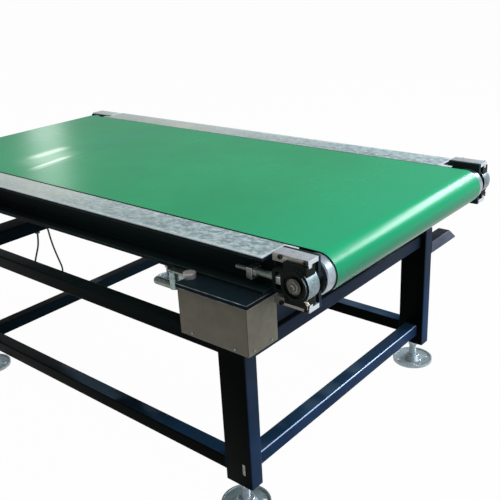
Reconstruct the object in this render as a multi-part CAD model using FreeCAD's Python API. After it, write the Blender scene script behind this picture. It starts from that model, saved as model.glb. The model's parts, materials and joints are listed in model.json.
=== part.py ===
"""Level slider-bed belt conveyor on a four-legged tube stand, in millimetres.

The bed's own frame is used while modelling: X runs along the belt from the tail end of the cover
strips (X = 0) and is positive beyond the tail, Y runs across from the belt's centre line, and Z
runs up from the floor. At the end everything moves so that the origin lies on the floor under the
centre of the whole machine's box.
"""
import FreeCAD
import Part

import math
import os

V = FreeCAD.Vector
X_AXIS = V(1, 0, 0)
Y_AXIS = V(0, 1, 0)
Z_AXIS = V(0, 0, 1)

# Belt and drums
BELT_TOP = 662.0
BELT_WIDTH = 668.0
BELT_T = 2.5
DRUM_R = 42.2
RUN_GAP = 0.3
TAIL_AXIS_X = 74.0
DRUM_SPACING = 1532.0
DRUM_END_GAP = 5.0
DRUM_CHAMFER = 3.0
DRUM_WALL = 5.0
DRUM_DISC = 12.0
SHAFT_R = 12.5
SHAFT_FLAT_LENGTH = 24.0
BORE_CLEARANCE = 0.06

# Cover strips and side rails
STRIP_GAP = 6.0
STRIP_WIDTH = 81.0
STRIP_T = 2.5
STRIP_TONGUE = 31.0
STRIP_TONGUE_WIDTH = 12.0
RAIL_DEPTH = 48.0
RAIL_HEIGHT = 79.5
RAIL_WEB = 8.0
RAIL_TOP_FLANGE = 6.0
RAIL_LOW_FLANGE = 8.0
RAIL_FILLET = 3.0

# Slider bed and its cross ties
BED_T = 3.0
BED_EDGE_GAP = 11.0
BED_FOLD = 24.0
BED_END_GAP = 8.0
TIE_WIDTH = 40.0
TIE_HEIGHT = 40.0
TIE_WALL = 3.0
TIE_SHARES = (0.188, 0.5, 0.812)

# End plates, guide bars and take-up bearings
PLATE_T = 8.0
PLATE_LAP = 60.0
FORK_HALF = 22.0
BAR_START = 14.0
BAR_LENGTH = 87.0
BAR_OUTER = 55.0
BAR_INNER = 38.3
BAR_BACK_T = 10.0
GROOVE_WIDTH = 12.6
GROOVE_HALF_LENGTH = 60.0
TONGUE_WIDTH = 12.0
TAKEUP_OFFSET = 60.0
HOUSING_T = 34.0
HOUSING_FLANGE = 43.8
HOUSING_ROUND = 36.0
HOUSING_REAR = 57.0
HOUSING_REAR_HALF = 24.0
HOUSING_FLANGE_HALF = 28.0
BOSS_R = 30.0
BOSS_RISE = 3.0
SEAL_R = 25.0
RING_R = 17.0
RING_PROUD = 19.8
WINDOW_FAR = 49.0
WINDOW_NEAR = 34.0
WINDOW_HALF = 19.0
SHAFT_PROUD = 24.0

# Adjusting screw
SCREW_R = 5.0
SCREW_SLEEVE_R = 7.5
SCREW_END = 86.0
LUG_X = 37.0
LUG_T = 15.0
LUG_DROP = 16.0
LUG_RISE = 9.0
LUG_REACH = 30.0
NUT_FLATS = 19.0
NUT_T = 8.0
WINDOW_NUT_FLATS = 26.0
BOLT_HEAD_R = 5.2
BOLT_SET_IN = 5.3
BOLT_REAR = 20.0
BOLT_END = 6.0
BOLT_HEAD_H = 4.0

# Head bearings and their covers
FLANGE_HALF = 42.0
FLANGE_T = 12.0
FLANGE_BOLT = 29.0
FLANGE_HUB_R = 31.0
FLANGE_DEPTH = 28.0
HEAD_PLATE_HOLE_R = 21.0
HEAD_PLATE_REACH = 46.0
HEAD_PLATE_DROP = 44.0
COVER_T = 4.0
COVER_SET_IN = 8.0
COVER_FOLD = 15.0

# Stand
LEG_X = 80.0
LEG_Y = 40.0
TUBE_WIDTH = 40.0
TUBE_HEIGHT = 37.0
TUBE_WALL = 3.0
TUBE_CORNER = 4.0
STAND_OUTSET = 8.0
TAIL_LEG_X = -94.5
HEAD_OVERHANG = 265.0
LEG_FOOT_GAP = 69.0
SIDE_BEAM_DROP = 217.0
TAIL_BEAM_DROP = 237.0
HEAD_BEAM_HEIGHT = 42.0
LOW_BEAM_TOP = 133.0
POST_X = 40.0
POST_DEPTH = 32.0
POST_WEB_LAP = 40.0
GUSSET_T = 6.0
GUSSET_REACH = 151.0
GUSSET_RISE = 80.0
GUSSET_TIP = 20.0
STUB_TOP_LENGTH = 118.0
STUB_LOW_LENGTH = 167.0
STUB_DROP = 263.0

# Levelling feet
FOOT_R = 60.0
FOOT_T = 8.0
FOOT_RIM = 3.0
FOOT_HUB_R = 20.0
FOOT_HUB_H = 14.0
STUD_R = 10.0
FOOT_PCD = 90.0
FOOT_HOLE_R = 5.5
FOOT_HOLES = 4
LEG_PLUG_T = 6.0

# Return rollers
RETURN_R = 20.0
RETURN_SHARES = (0.17, 0.83)
RETURN_SHAFT_R = 6.0
HANGER_T = 6.0
HANGER_WIDTH = 30.0
HANGER_FOOT = 32.0
HANGER_FOOT_T = 5.0

# Control box below the near rail
BOX_LENGTH = 192.0
BOX_DEPTH = 95.0
BOX_HEIGHT = 108.0
BOX_REACH = 55.0
CAP_T = 10.0
CAP_LIP = 3.0

# Clamp beside the control box
CLAMP_X = -243.0
CLAMP_OUTSET = 13.0
CLAMP_R = 11.0
CLAMP_LOW = 42.0
CLAMP_BAR_R = 9.0
CLAMP_BAR_END = -299.0
CLAMP_DISC_X = -188.0
CLAMP_DISC_R = 14.5
CLAMP_DISC_T = 8.0
CLAMP_STRAP_T = 4.0
CLAMP_STRAP_HALF = 9.0

# Drive
GEARBOX_X = 110.0
GEARBOX_Y = 62.0
GEARBOX_Z = 120.0
GEARBOX_GAP = 6.0
COLLAR_R = 28.0
COLLAR_T = 5.0
ARM_CLEARANCE = 8.0
ARM_LENGTH = 110.0
MOTOR_R = 60.0
MOTOR_LENGTH = 190.0
MOTOR_FLANGE_R = 70.0
MOTOR_FLANGE_T = 12.0
FIN_RISE = 4.0
FIN_COUNT = 24
TERMINAL_PAD = 8.0
TERMINAL_X = 38.0
TERMINAL_Y = 70.0
TERMINAL_Z = 60.0
TERMINAL_DROP = 92.0

# Motor cable and its glands
CABLE_R = 3.0
CABLE_BEND_SHARE = 0.45
GLAND_R = 8.0
GLAND_LENGTH = 18.0
GLAND_FLATS = 19.0

BELT_OUTER_R = DRUM_R + RUN_GAP + BELT_T
AXIS_Z = BELT_TOP - BELT_OUTER_R
HEAD_AXIS_X = TAIL_AXIS_X - DRUM_SPACING
HEAD_STRIP_X = HEAD_AXIS_X + TAIL_AXIS_X
STRIP_IN_Y = BELT_WIDTH / 2 + STRIP_GAP
RAIL_OUT_Y = STRIP_IN_Y + STRIP_WIDTH
WEB_IN_Y = RAIL_OUT_Y - RAIL_DEPTH
STAND_HALF_WIDTH = RAIL_OUT_Y + STAND_OUTSET
CLAMP_Y = -(RAIL_OUT_Y + CLAMP_OUTSET)
PLATE_IN_Y = WEB_IN_Y - PLATE_T
DRUM_END_Y = PLATE_IN_Y - DRUM_END_GAP
TAKEUP_Y = STRIP_IN_Y + TAKEUP_OFFSET
RAIL_TOP = BELT_TOP - STRIP_T
RAIL_BOTTOM = RAIL_TOP - RAIL_HEIGHT
BED_TOP = BELT_TOP - BELT_T
HEAD_LEG_X = HEAD_AXIS_X + HEAD_OVERHANG
TIE_XS = tuple(HEAD_STRIP_X * share for share in TIE_SHARES)
RETURN_XS = tuple(HEAD_STRIP_X * share for share in RETURN_SHARES)
STAND_TOP = BELT_TOP - SIDE_BEAM_DROP
MOTOR_Y = -(TAKEUP_Y + SHAFT_PROUD + GEARBOX_GAP + GEARBOX_Y / 2)
GEARBOX_BOTTOM = AXIS_Z - GEARBOX_Z * 0.6


def block(x0, x1, y0, y1, z0, z1):
    """Make a box from its lowest and highest corners."""
    low = V(min(x0, x1), min(y0, y1), min(z0, z1))
    return Part.makeBox(abs(x1 - x0), abs(y1 - y0), abs(z1 - z0), low)


def rod(radius, start, end):
    """Make a cylinder between two points."""
    path = end - start
    return Part.makeCylinder(radius, path.Length, start, path)


def prism(points, direction):
    """Extrude a closed outline of points along a direction."""
    wire = Part.makePolygon(list(points) + [points[0]])
    return Part.Face(wire).extrude(direction)


def hexagon(flats, start, end):
    """Make a hexagonal bar along X between two points, with flats that face sideways."""
    radius = flats / math.sqrt(3)
    turns = [math.radians(60 * i + 30) for i in range(6)]
    corners = [V(start.x, start.y + radius * math.cos(t), start.z + radius * math.sin(t)) for t in turns]
    return prism(corners, end - start)


def rounded_tube(x0, x1, y0, y1, z0, z1, along):
    """Make an open hollow section with rounded edges; along is the index of its long axis."""
    outer = block(x0, x1, y0, y1, z0, z1)
    long_edges = [e for e in outer.Edges if abs(e.tangentAt(e.FirstParameter)[along]) > 0.9]
    outer = outer.makeFillet(TUBE_CORNER, long_edges)
    lows = [x0 + TUBE_WALL, y0 + TUBE_WALL, z0 + TUBE_WALL]
    highs = [x1 - TUBE_WALL, y1 - TUBE_WALL, z1 - TUBE_WALL]
    lows[along] = (x0, y0, z0)[along] - 1
    highs[along] = (x1, y1, z1)[along] + 1
    return outer.cut(block(lows[0], highs[0], lows[1], highs[1], lows[2], highs[2]))


def stadium(radius, half_width):
    """Make the solid loop that goes round both drums at a radius."""
    body = block(HEAD_AXIS_X, TAIL_AXIS_X, -half_width, half_width, AXIS_Z - radius, AXIS_Z + radius)
    for x in (HEAD_AXIS_X, TAIL_AXIS_X):
        body = body.fuse(rod(radius, V(x, -half_width, AXIS_Z), V(x, half_width, AXIS_Z)))
    return body.removeSplitter()


def make_belt():
    """Make the endless belt as one loop with its real thickness."""
    outer = stadium(BELT_OUTER_R, BELT_WIDTH / 2)
    return outer.cut(stadium(BELT_OUTER_R - BELT_T, BELT_WIDTH))


def make_bed():
    """Make the slider bed sheet with its folded edges and sloped ends."""
    half = WEB_IN_Y - BED_EDGE_GAP
    end = TAIL_AXIS_X - BELT_OUTER_R - BED_END_GAP + BELT_T
    start = HEAD_AXIS_X + BELT_OUTER_R + BED_END_GAP - BELT_T
    sheet = block(start, end, -half, half, BED_TOP - BED_T, BED_TOP)
    for side in (-1, 1):
        fold = block(start, end, side * half, side * (half - BED_T), BED_TOP - BED_FOLD, BED_TOP)
        sheet = sheet.fuse(fold)
    return sheet.removeSplitter()


def make_ties():
    """Make the folded channels that carry the bed between the rails' webs."""
    top = BED_TOP - BED_FOLD
    ties = []
    for x in TIE_XS:
        outer = block(x - TIE_WIDTH / 2, x + TIE_WIDTH / 2, -WEB_IN_Y, WEB_IN_Y, top - TIE_HEIGHT, top)
        inner = block(x - TIE_WIDTH / 2 + TIE_WALL, x + TIE_WIDTH / 2 - TIE_WALL, -WEB_IN_Y - 1,
                      WEB_IN_Y + 1, top - TIE_HEIGHT - 1, top - TIE_WALL)
        ties.append(outer.cut(inner))
    return Part.makeCompound(ties)


def make_rail():
    """Make the far side rail: a channel open outwards, with the adjusting screw's lug at the tail."""
    face = [(0, 0), (RAIL_DEPTH, 0), (RAIL_DEPTH, RAIL_LOW_FLANGE), (RAIL_WEB, RAIL_LOW_FLANGE),
            (RAIL_WEB, RAIL_HEIGHT - RAIL_TOP_FLANGE), (RAIL_DEPTH, RAIL_HEIGHT - RAIL_TOP_FLANGE),
            (RAIL_DEPTH, RAIL_HEIGHT), (0, RAIL_HEIGHT)]
    outline = [V(HEAD_STRIP_X, WEB_IN_Y + y, RAIL_BOTTOM + z) for y, z in face]
    rail = prism(outline, V(-HEAD_STRIP_X, 0, 0))
    inside = [e for e in rail.Edges if e.Length > 1000 and abs(e.Vertexes[0].Y - WEB_IN_Y - RAIL_WEB) < 0.01]
    rail = rail.makeFillet(RAIL_FILLET, inside)
    web = WEB_IN_Y + RAIL_WEB
    lug = block(-LUG_X - LUG_T, -LUG_X, web, web + LUG_REACH, AXIS_Z - LUG_DROP, AXIS_Z + LUG_RISE)
    hole = rod(SCREW_R + BORE_CLEARANCE, V(-LUG_X - LUG_T - 1, TAKEUP_Y, AXIS_Z), V(0, TAKEUP_Y, AXIS_Z))
    return rail.fuse(lug).cut(hole).removeSplitter()


def make_strip():
    """Make the far zinc-coated cover strip over the rail, with its narrow tongue beside the belt."""
    strip = block(HEAD_STRIP_X, 0, STRIP_IN_Y, RAIL_OUT_Y, BELT_TOP - STRIP_T, BELT_TOP)
    tongue = block(0, STRIP_TONGUE, STRIP_IN_Y, STRIP_IN_Y + STRIP_TONGUE_WIDTH, BELT_TOP - STRIP_T, BELT_TOP)
    return strip.fuse(tongue).removeSplitter()


def make_end_plate():
    """Make the far tail end plate: a fork, open towards the tail, behind the rail's web."""
    reach = BAR_START + BAR_LENGTH
    low = RAIL_BOTTOM + RAIL_LOW_FLANGE
    high = RAIL_TOP - RAIL_TOP_FLANGE
    y = PLATE_IN_Y
    fork_x = TAIL_AXIS_X - SHAFT_R - FORK_HALF
    outline = [V(-PLATE_LAP, y, low), V(BAR_START / 2, y, low), V(BAR_START, y, AXIS_Z - BAR_OUTER),
               V(reach, y, AXIS_Z - BAR_OUTER), V(reach, y, AXIS_Z - FORK_HALF),
               V(fork_x, y, AXIS_Z - FORK_HALF), V(fork_x, y, AXIS_Z + FORK_HALF),
               V(reach, y, AXIS_Z + FORK_HALF), V(reach, y, AXIS_Z + BAR_OUTER),
               V(BAR_START, y, AXIS_Z + BAR_OUTER), V(BAR_START / 2, y, high), V(-PLATE_LAP, y, high)]
    plate = prism(outline, V(0, PLATE_T, 0))
    throat = rod(FORK_HALF, V(fork_x, y, AXIS_Z), V(fork_x, y + PLATE_T, AXIS_Z))
    return plate.cut(throat)


def make_guide_bars():
    """Make the far tail pair of guide bars, each with a tongue in the bearing housing's groove."""
    bars = []
    for side in (-1, 1):
        face = [(0, BAR_OUTER), (TAKEUP_Y - WEB_IN_Y + TONGUE_WIDTH / 2, BAR_OUTER),
                (TAKEUP_Y - WEB_IN_Y + TONGUE_WIDTH / 2, BAR_INNER),
                (TAKEUP_Y - WEB_IN_Y - TONGUE_WIDTH / 2, BAR_INNER),
                (TAKEUP_Y - WEB_IN_Y - TONGUE_WIDTH / 2, BAR_OUTER - BAR_BACK_T), (0, BAR_OUTER - BAR_BACK_T)]
        outline = [V(BAR_START, WEB_IN_Y + y, AXIS_Z + side * z) for y, z in face]
        bar = prism(outline, V(BAR_LENGTH, 0, 0))
        front = TAKEUP_Y + TONGUE_WIDTH / 2
        for x in (BAR_START + BOLT_REAR, BAR_START + BAR_LENGTH - BOLT_END):
            z = AXIS_Z + side * (BAR_OUTER - BOLT_SET_IN)
            head = rod(BOLT_HEAD_R, V(x, front, z), V(x, front + BOLT_HEAD_H, z))
            socket = rod(BOLT_HEAD_R / 2, V(x, front + 1, z), V(x, front + BOLT_HEAD_H, z))
            bar = bar.fuse(head).cut(socket)
        bars.append(bar)
    return Part.makeCompound(bars)


def make_housing():
    """Make the far tail take-up housing with its grooves, boss, nut window and grease nipple."""
    y0 = TAKEUP_Y - HOUSING_T / 2
    y1 = TAKEUP_Y + HOUSING_T / 2
    cx = TAIL_AXIS_X
    body = rod(HOUSING_ROUND, V(cx, y0, AXIS_Z), V(cx, y1, AXIS_Z))
    body = body.fuse(block(cx - HOUSING_REAR, cx, y0 + 3, y1 - 3, AXIS_Z - HOUSING_REAR_HALF,
                           AXIS_Z + HOUSING_REAR_HALF))
    body = body.fuse(block(cx - HOUSING_FLANGE_HALF, cx + HOUSING_FLANGE_HALF, y0 + 3, y1 - 3,
                           AXIS_Z - HOUSING_FLANGE, AXIS_Z + HOUSING_FLANGE))
    corners = [e for e in body.Edges if abs(e.tangentAt(e.FirstParameter).y) > 0.99
               and e.BoundBox.XMax < cx - HOUSING_REAR + 0.1]
    body = body.makeFillet(8, corners)
    boss = rod(BOSS_R, V(cx, y1, AXIS_Z), V(cx, y1 + BOSS_RISE, AXIS_Z))
    body = body.fuse(boss)
    for side in (-1, 1):
        groove = block(cx - GROOVE_HALF_LENGTH, cx + GROOVE_HALF_LENGTH, TAKEUP_Y - GROOVE_WIDTH / 2,
                       TAKEUP_Y + GROOVE_WIDTH / 2, AXIS_Z + side * (BAR_INNER - RUN_GAP),
                       AXIS_Z + side * (BAR_OUTER + 10))
        body = body.cut(groove)
    window = block(cx - WINDOW_FAR, cx - WINDOW_NEAR, y0 - 1, y1 + 1, AXIS_Z - WINDOW_HALF,
                   AXIS_Z + WINDOW_HALF)
    window = window.makeFillet(5, [e for e in window.Edges if abs(e.tangentAt(e.FirstParameter).y) > 0.99])
    body = body.cut(window)
    body = body.cut(rod(SCREW_R + BORE_CLEARANCE, V(cx - HOUSING_REAR - 1, TAKEUP_Y, AXIS_Z),
                        V(cx - WINDOW_FAR + 1, TAKEUP_Y, AXIS_Z)))
    bore = rod(RING_R + RUN_GAP, V(cx, y0 - 1, AXIS_Z), V(cx, y1 + BOSS_RISE + 1, AXIS_Z))
    seat = rod(SEAL_R, V(cx, y1 - 2, AXIS_Z), V(cx, y1 + BOSS_RISE + 1, AXIS_Z))
    nipple_z = AXIS_Z - HOUSING_ROUND * 0.75
    nipple_x = cx + HOUSING_ROUND * 0.62
    nipple = rod(3, V(nipple_x, TAKEUP_Y + 11, nipple_z), V(nipple_x + 8, TAKEUP_Y + 15, nipple_z - 6))
    return body.cut(bore).cut(seat).fuse(nipple)


def make_screw():
    """Make the far tail adjusting screw with its sleeve, lock nut and the nut in the window."""
    y = TAKEUP_Y
    z = AXIS_Z
    end = TAIL_AXIS_X - WINDOW_NEAR - 1
    screw = rod(SCREW_R, V(-SCREW_END, y, z), V(end, y, z))
    nut_x = -LUG_X + RUN_GAP
    screw = screw.fuse(hexagon(NUT_FLATS, V(nut_x, y, z), V(nut_x + NUT_T, y, z)))
    sleeve_end = TAIL_AXIS_X - HOUSING_REAR - RUN_GAP
    screw = screw.fuse(rod(SCREW_SLEEVE_R, V(nut_x + NUT_T, y, z), V(sleeve_end, y, z)))
    inner = TAIL_AXIS_X - WINDOW_FAR + RUN_GAP
    screw = screw.fuse(hexagon(WINDOW_NUT_FLATS, V(inner, y, z), V(end, y, z)))
    return screw.removeSplitter()


def make_drum(axis_x, near_extra, ring_from, ring_to):
    """Make a drum with its shaft and two bearing rings; near_extra lengthens the shaft towards -Y."""
    end = DRUM_END_Y
    far = TAKEUP_Y + SHAFT_PROUD
    outline = [V(axis_x, -end, 0), V(axis_x + DRUM_R - DRUM_CHAMFER, -end, 0),
               V(axis_x + DRUM_R, -end + DRUM_CHAMFER, 0), V(axis_x + DRUM_R, end - DRUM_CHAMFER, 0),
               V(axis_x + DRUM_R - DRUM_CHAMFER, end, 0), V(axis_x, end, 0)]
    profile = Part.Face(Part.makePolygon(outline + [outline[0]]))
    profile.translate(V(0, 0, AXIS_Z))
    drum = profile.revolve(V(axis_x, 0, AXIS_Z), Y_AXIS, 360)
    hollow = end - DRUM_DISC
    drum = drum.cut(rod(DRUM_R - DRUM_WALL, V(axis_x, -hollow, AXIS_Z), V(axis_x, hollow, AXIS_Z)))
    shaft = rod(SHAFT_R, V(axis_x, -far - near_extra, AXIS_Z), V(axis_x, far, AXIS_Z))
    chamfered = shaft.makeChamfer(1.5, [e for e in shaft.Edges if isinstance(e.Curve, Part.Circle)])
    drum = drum.fuse(chamfered)
    for side in (-1, 1):
        drum = drum.fuse(rod(RING_R, V(axis_x, side * ring_from, AXIS_Z), V(axis_x, side * ring_to, AXIS_Z)))
    return drum


def make_head_plate():
    """Make the far head end plate, which closes the rail and carries the flange bearing."""
    low = RAIL_BOTTOM + RAIL_LOW_FLANGE
    high = RAIL_TOP - RAIL_TOP_FLANGE
    end = HEAD_AXIS_X - HEAD_PLATE_REACH
    y = PLATE_IN_Y
    drop = AXIS_Z - HEAD_PLATE_DROP
    outline = [V(HEAD_STRIP_X + PLATE_LAP, y, low), V(HEAD_STRIP_X, y, low), V(HEAD_STRIP_X - 12, y, drop),
               V(end, y, drop), V(end, y, RAIL_TOP), V(HEAD_STRIP_X - 12, y, RAIL_TOP),
               V(HEAD_STRIP_X, y, high), V(HEAD_STRIP_X + PLATE_LAP, y, high)]
    plate = prism(outline, V(0, PLATE_T, 0))
    corners = [e for e in plate.Edges if e.BoundBox.XMax < end + 0.1 and e.BoundBox.ZLength < 1]
    plate = plate.makeFillet(8, corners)
    hole = rod(HEAD_PLATE_HOLE_R, V(HEAD_AXIS_X, y - 1, AXIS_Z), V(HEAD_AXIS_X, y + PLATE_T + 1, AXIS_Z))
    return plate.cut(hole)


def make_flange_bearing():
    """Make the far head bearing housing: a square flange with a round hub and four bolt heads."""
    y0 = WEB_IN_Y
    x = HEAD_AXIS_X
    body = block(x - FLANGE_HALF, x + FLANGE_HALF, y0, y0 + FLANGE_T, AXIS_Z - FLANGE_HALF,
                 AXIS_Z + FLANGE_HALF)
    body = body.makeFillet(12, [e for e in body.Edges if abs(e.tangentAt(e.FirstParameter).y) > 0.99])
    hub = Part.makeCone(FLANGE_HUB_R + 5, FLANGE_HUB_R, FLANGE_DEPTH, V(x, y0, AXIS_Z), Y_AXIS)
    body = body.fuse(hub)
    for dx in (-FLANGE_BOLT, FLANGE_BOLT):
        for dz in (-FLANGE_BOLT, FLANGE_BOLT):
            body = body.fuse(rod(BOLT_HEAD_R, V(x + dx, y0 + FLANGE_T, AXIS_Z + dz),
                                 V(x + dx, y0 + FLANGE_T + BOLT_HEAD_H + 2, AXIS_Z + dz)))
    bore = rod(RING_R + RUN_GAP, V(x, y0 - 1, AXIS_Z), V(x, y0 + FLANGE_DEPTH + 1, AXIS_Z))
    return body.cut(bore)


def make_head_cover():
    """Make the far folded zinc cover over the head bearing, level with the cover strip."""
    x0 = HEAD_AXIS_X - HEAD_PLATE_REACH + COVER_SET_IN
    x1 = HEAD_STRIP_X - RUN_GAP
    y1 = RAIL_OUT_Y - COVER_SET_IN
    top = block(x0, x1, PLATE_IN_Y, y1, RAIL_TOP, RAIL_TOP + COVER_T)
    fold = block(x0, x1, y1 - COVER_T, y1, RAIL_TOP - COVER_FOLD, RAIL_TOP)
    return top.fuse(fold).removeSplitter()


def make_legs(x, side):
    """Make one leg tube with its plug plate at the foot."""
    y0 = min(side * STAND_HALF_WIDTH, side * (STAND_HALF_WIDTH - LEG_Y))
    top = STAND_TOP
    leg = rounded_tube(x - LEG_X / 2, x + LEG_X / 2, y0, y0 + LEG_Y, LEG_FOOT_GAP, top, 2)
    plug = block(x - LEG_X / 2 + TUBE_WALL, x + LEG_X / 2 - TUBE_WALL, y0 + TUBE_WALL,
                 y0 + LEG_Y - TUBE_WALL, LEG_FOOT_GAP, LEG_FOOT_GAP + LEG_PLUG_T)
    lid = block(x - LEG_X / 2 + TUBE_WALL, x + LEG_X / 2 - TUBE_WALL, y0 + TUBE_WALL,
                y0 + LEG_Y - TUBE_WALL, top - TUBE_WALL, top)
    hole = rod(STUD_R + BORE_CLEARANCE, V(x, y0 + LEG_Y / 2, 0), V(x, y0 + LEG_Y / 2, LEG_FOOT_GAP + 20))
    return leg.fuse(plug).fuse(lid).cut(hole)


def make_side_beam(side, top):
    """Make one long stand beam between the legs of a side."""
    y0 = min(side * STAND_HALF_WIDTH, side * (STAND_HALF_WIDTH - TUBE_WIDTH))
    return rounded_tube(HEAD_LEG_X + LEG_X / 2, TAIL_LEG_X - LEG_X / 2, y0, y0 + TUBE_WIDTH,
                        top - TUBE_HEIGHT, top, 0)


def make_cross_beam(x, width, height, top):
    """Make one beam across the stand between two legs."""
    half = STAND_HALF_WIDTH - LEG_Y
    return rounded_tube(x - width / 2, x + width / 2, -half, half, top - height, top, 1)


def make_posts():
    """Make the bed posts: three stand on legs, the near tail one on the cross beam with a gusset."""
    leg_top_y = STAND_HALF_WIDTH - LEG_Y
    tail_x = TAIL_LEG_X + POST_X
    head_x = HEAD_LEG_X - POST_X
    posts = [rounded_tube(TAIL_LEG_X, tail_x, leg_top_y, leg_top_y + POST_DEPTH, STAND_TOP, RAIL_BOTTOM, 2),
             rounded_tube(head_x, HEAD_LEG_X, leg_top_y, leg_top_y + POST_DEPTH, STAND_TOP, RAIL_BOTTOM, 2),
             rounded_tube(head_x, HEAD_LEG_X, -leg_top_y - POST_DEPTH, -leg_top_y, STAND_TOP, RAIL_BOTTOM, 2)]
    beam_top = BELT_TOP - TAIL_BEAM_DROP
    inner_y = POST_DEPTH - WEB_IN_Y
    near = rounded_tube(TAIL_LEG_X - POST_X / 2, TAIL_LEG_X + POST_X / 2, -WEB_IN_Y, inner_y, beam_top,
                        RAIL_BOTTOM + POST_WEB_LAP, 2)
    outline = [V(TAIL_LEG_X - GUSSET_T / 2, inner_y, beam_top),
               V(TAIL_LEG_X - GUSSET_T / 2, inner_y + GUSSET_REACH, beam_top),
               V(TAIL_LEG_X - GUSSET_T / 2, inner_y + GUSSET_REACH, beam_top + GUSSET_TIP),
               V(TAIL_LEG_X - GUSSET_T / 2, inner_y, beam_top + GUSSET_RISE)]
    posts.append(near.fuse(prism(outline, V(GUSSET_T, 0, 0))))
    return Part.makeCompound(posts)


def make_stub():
    """Make the capped tube with a slanted end that sticks out beyond the far tail leg."""
    top = BELT_TOP - STUB_DROP
    low = top - TUBE_HEIGHT
    x0 = TAIL_LEG_X + LEG_X / 2 - TUBE_WIDTH
    y = STAND_HALF_WIDTH
    outline = [V(x0, y, low), V(x0, y + STUB_LOW_LENGTH, low), V(x0, y + STUB_TOP_LENGTH, top), V(x0, y, top)]
    stub = prism(outline, V(TUBE_WIDTH, 0, 0))
    return stub.makeFillet(TUBE_CORNER, [e for e in stub.Edges if e.BoundBox.YMax > y + 1])


def make_foot(x, side):
    """Make one levelling foot: a rimmed round plate, a hub, a stud and its lock nut."""
    y = side * (STAND_HALF_WIDTH - LEG_Y / 2)
    plate = rod(FOOT_R, V(x, y, 0), V(x, y, FOOT_T))
    plate = plate.cut(rod(FOOT_R - 4, V(x, y, FOOT_T - FOOT_RIM), V(x, y, FOOT_T + 1)))
    hub = Part.makeCone(FOOT_HUB_R + 8, FOOT_HUB_R, FOOT_HUB_H, V(x, y, FOOT_T - FOOT_RIM))
    stud = rod(STUD_R, V(x, y, 1), V(x, y, LEG_FOOT_GAP + LEG_PLUG_T + 6))
    radius = 15.0
    corners = [V(x + radius * math.cos(math.radians(60 * i)), y + radius * math.sin(math.radians(60 * i)),
                 LEG_FOOT_GAP - 14) for i in range(6)]
    nut = prism(corners, V(0, 0, 14 - RUN_GAP))
    foot = plate.fuse(hub).fuse(stud).fuse(nut)
    for i in range(FOOT_HOLES):
        a = math.radians(45 + 360 / FOOT_HOLES * i)
        cx = x + FOOT_PCD / 2 * math.cos(a)
        cy = y + FOOT_PCD / 2 * math.sin(a)
        foot = foot.cut(rod(FOOT_HOLE_R, V(cx, cy, -1), V(cx, cy, FOOT_T + 1)))
    return foot


def make_return_roller(x):
    """Make a return roller with its thin shaft, just below the belt's return strand."""
    z = AXIS_Z - BELT_OUTER_R - RUN_GAP - RETURN_R
    half = BELT_WIDTH / 2 + 2
    body = rod(RETURN_R, V(x, -half, z), V(x, half, z))
    body = body.makeChamfer(1.5, [e for e in body.Edges if isinstance(e.Curve, Part.Circle)])
    reach = WEB_IN_Y + HANGER_T + 2
    return body.fuse(rod(RETURN_SHAFT_R, V(x, -reach, z), V(x, reach, z)))


def make_hangers():
    """Make the bent plates that hang the return rollers from the rails' lower flanges."""
    z = AXIS_Z - BELT_OUTER_R - RUN_GAP - RETURN_R
    hangers = []
    for x in RETURN_XS:
        for side in (-1, 1):
            y0 = WEB_IN_Y
            x0 = x - HANGER_WIDTH / 2
            x1 = x + HANGER_WIDTH / 2
            plate = block(x0, x1, side * y0, side * (y0 + HANGER_T), z, RAIL_BOTTOM)
            plate = plate.fuse(rod(HANGER_WIDTH / 2, V(x, side * y0, z), V(x, side * (y0 + HANGER_T), z)))
            foot = block(x0, x1, side * y0, side * (y0 + HANGER_FOOT), RAIL_BOTTOM - HANGER_FOOT_T, RAIL_BOTTOM)
            hole = rod(RETURN_SHAFT_R + BORE_CLEARANCE, V(x, side * (y0 - 1), z),
                       V(x, side * (y0 + HANGER_T + 1), z))
            hangers.append(plate.fuse(foot).cut(hole).removeSplitter())
    return Part.makeCompound(hangers)


def make_box():
    """Make the sheet control box under the near rail at the tail."""
    y0 = -(RAIL_OUT_Y + BOX_REACH)
    top = RAIL_BOTTOM - CAP_T
    body = block(-BOX_LENGTH, 0, y0, y0 + BOX_DEPTH, top - BOX_HEIGHT, top)
    return body.makeFillet(1.0, [e for e in body.Edges if abs(e.tangentAt(e.FirstParameter).z) > 0.99])


def make_cap():
    """Make the navy lipped plate that carries the control box below the rail."""
    y0 = -(RAIL_OUT_Y + BOX_REACH + CAP_LIP)
    cap = block(-BOX_LENGTH - CAP_LIP, CAP_LIP, y0, y0 + BOX_DEPTH + 2 * CAP_LIP, RAIL_BOTTOM - CAP_T,
                RAIL_BOTTOM)
    return cap.makeFillet(2.0, [e for e in cap.Edges if abs(e.tangentAt(e.FirstParameter).z) > 0.99])


def make_gearbox():
    """Make the worm gearbox that sits on the head drum's near shaft end."""
    y1 = MOTOR_Y + GEARBOX_Y / 2
    y0 = MOTOR_Y - GEARBOX_Y / 2
    x = HEAD_AXIS_X
    body = block(x - GEARBOX_X / 2, x + GEARBOX_X / 2, y0, y1, GEARBOX_BOTTOM, AXIS_Z + GEARBOX_Z * 0.4)
    body = body.makeFillet(14, [e for e in body.Edges if abs(e.tangentAt(e.FirstParameter).y) > 0.99])
    collar = rod(COLLAR_R, V(x, y0 - COLLAR_T, AXIS_Z), V(x, y0, AXIS_Z))
    bore = rod(SHAFT_R + RUN_GAP, V(x, y0 - COLLAR_T - 1, AXIS_Z), V(x, y1 + 1, AXIS_Z))
    return body.fuse(collar).cut(bore)


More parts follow.
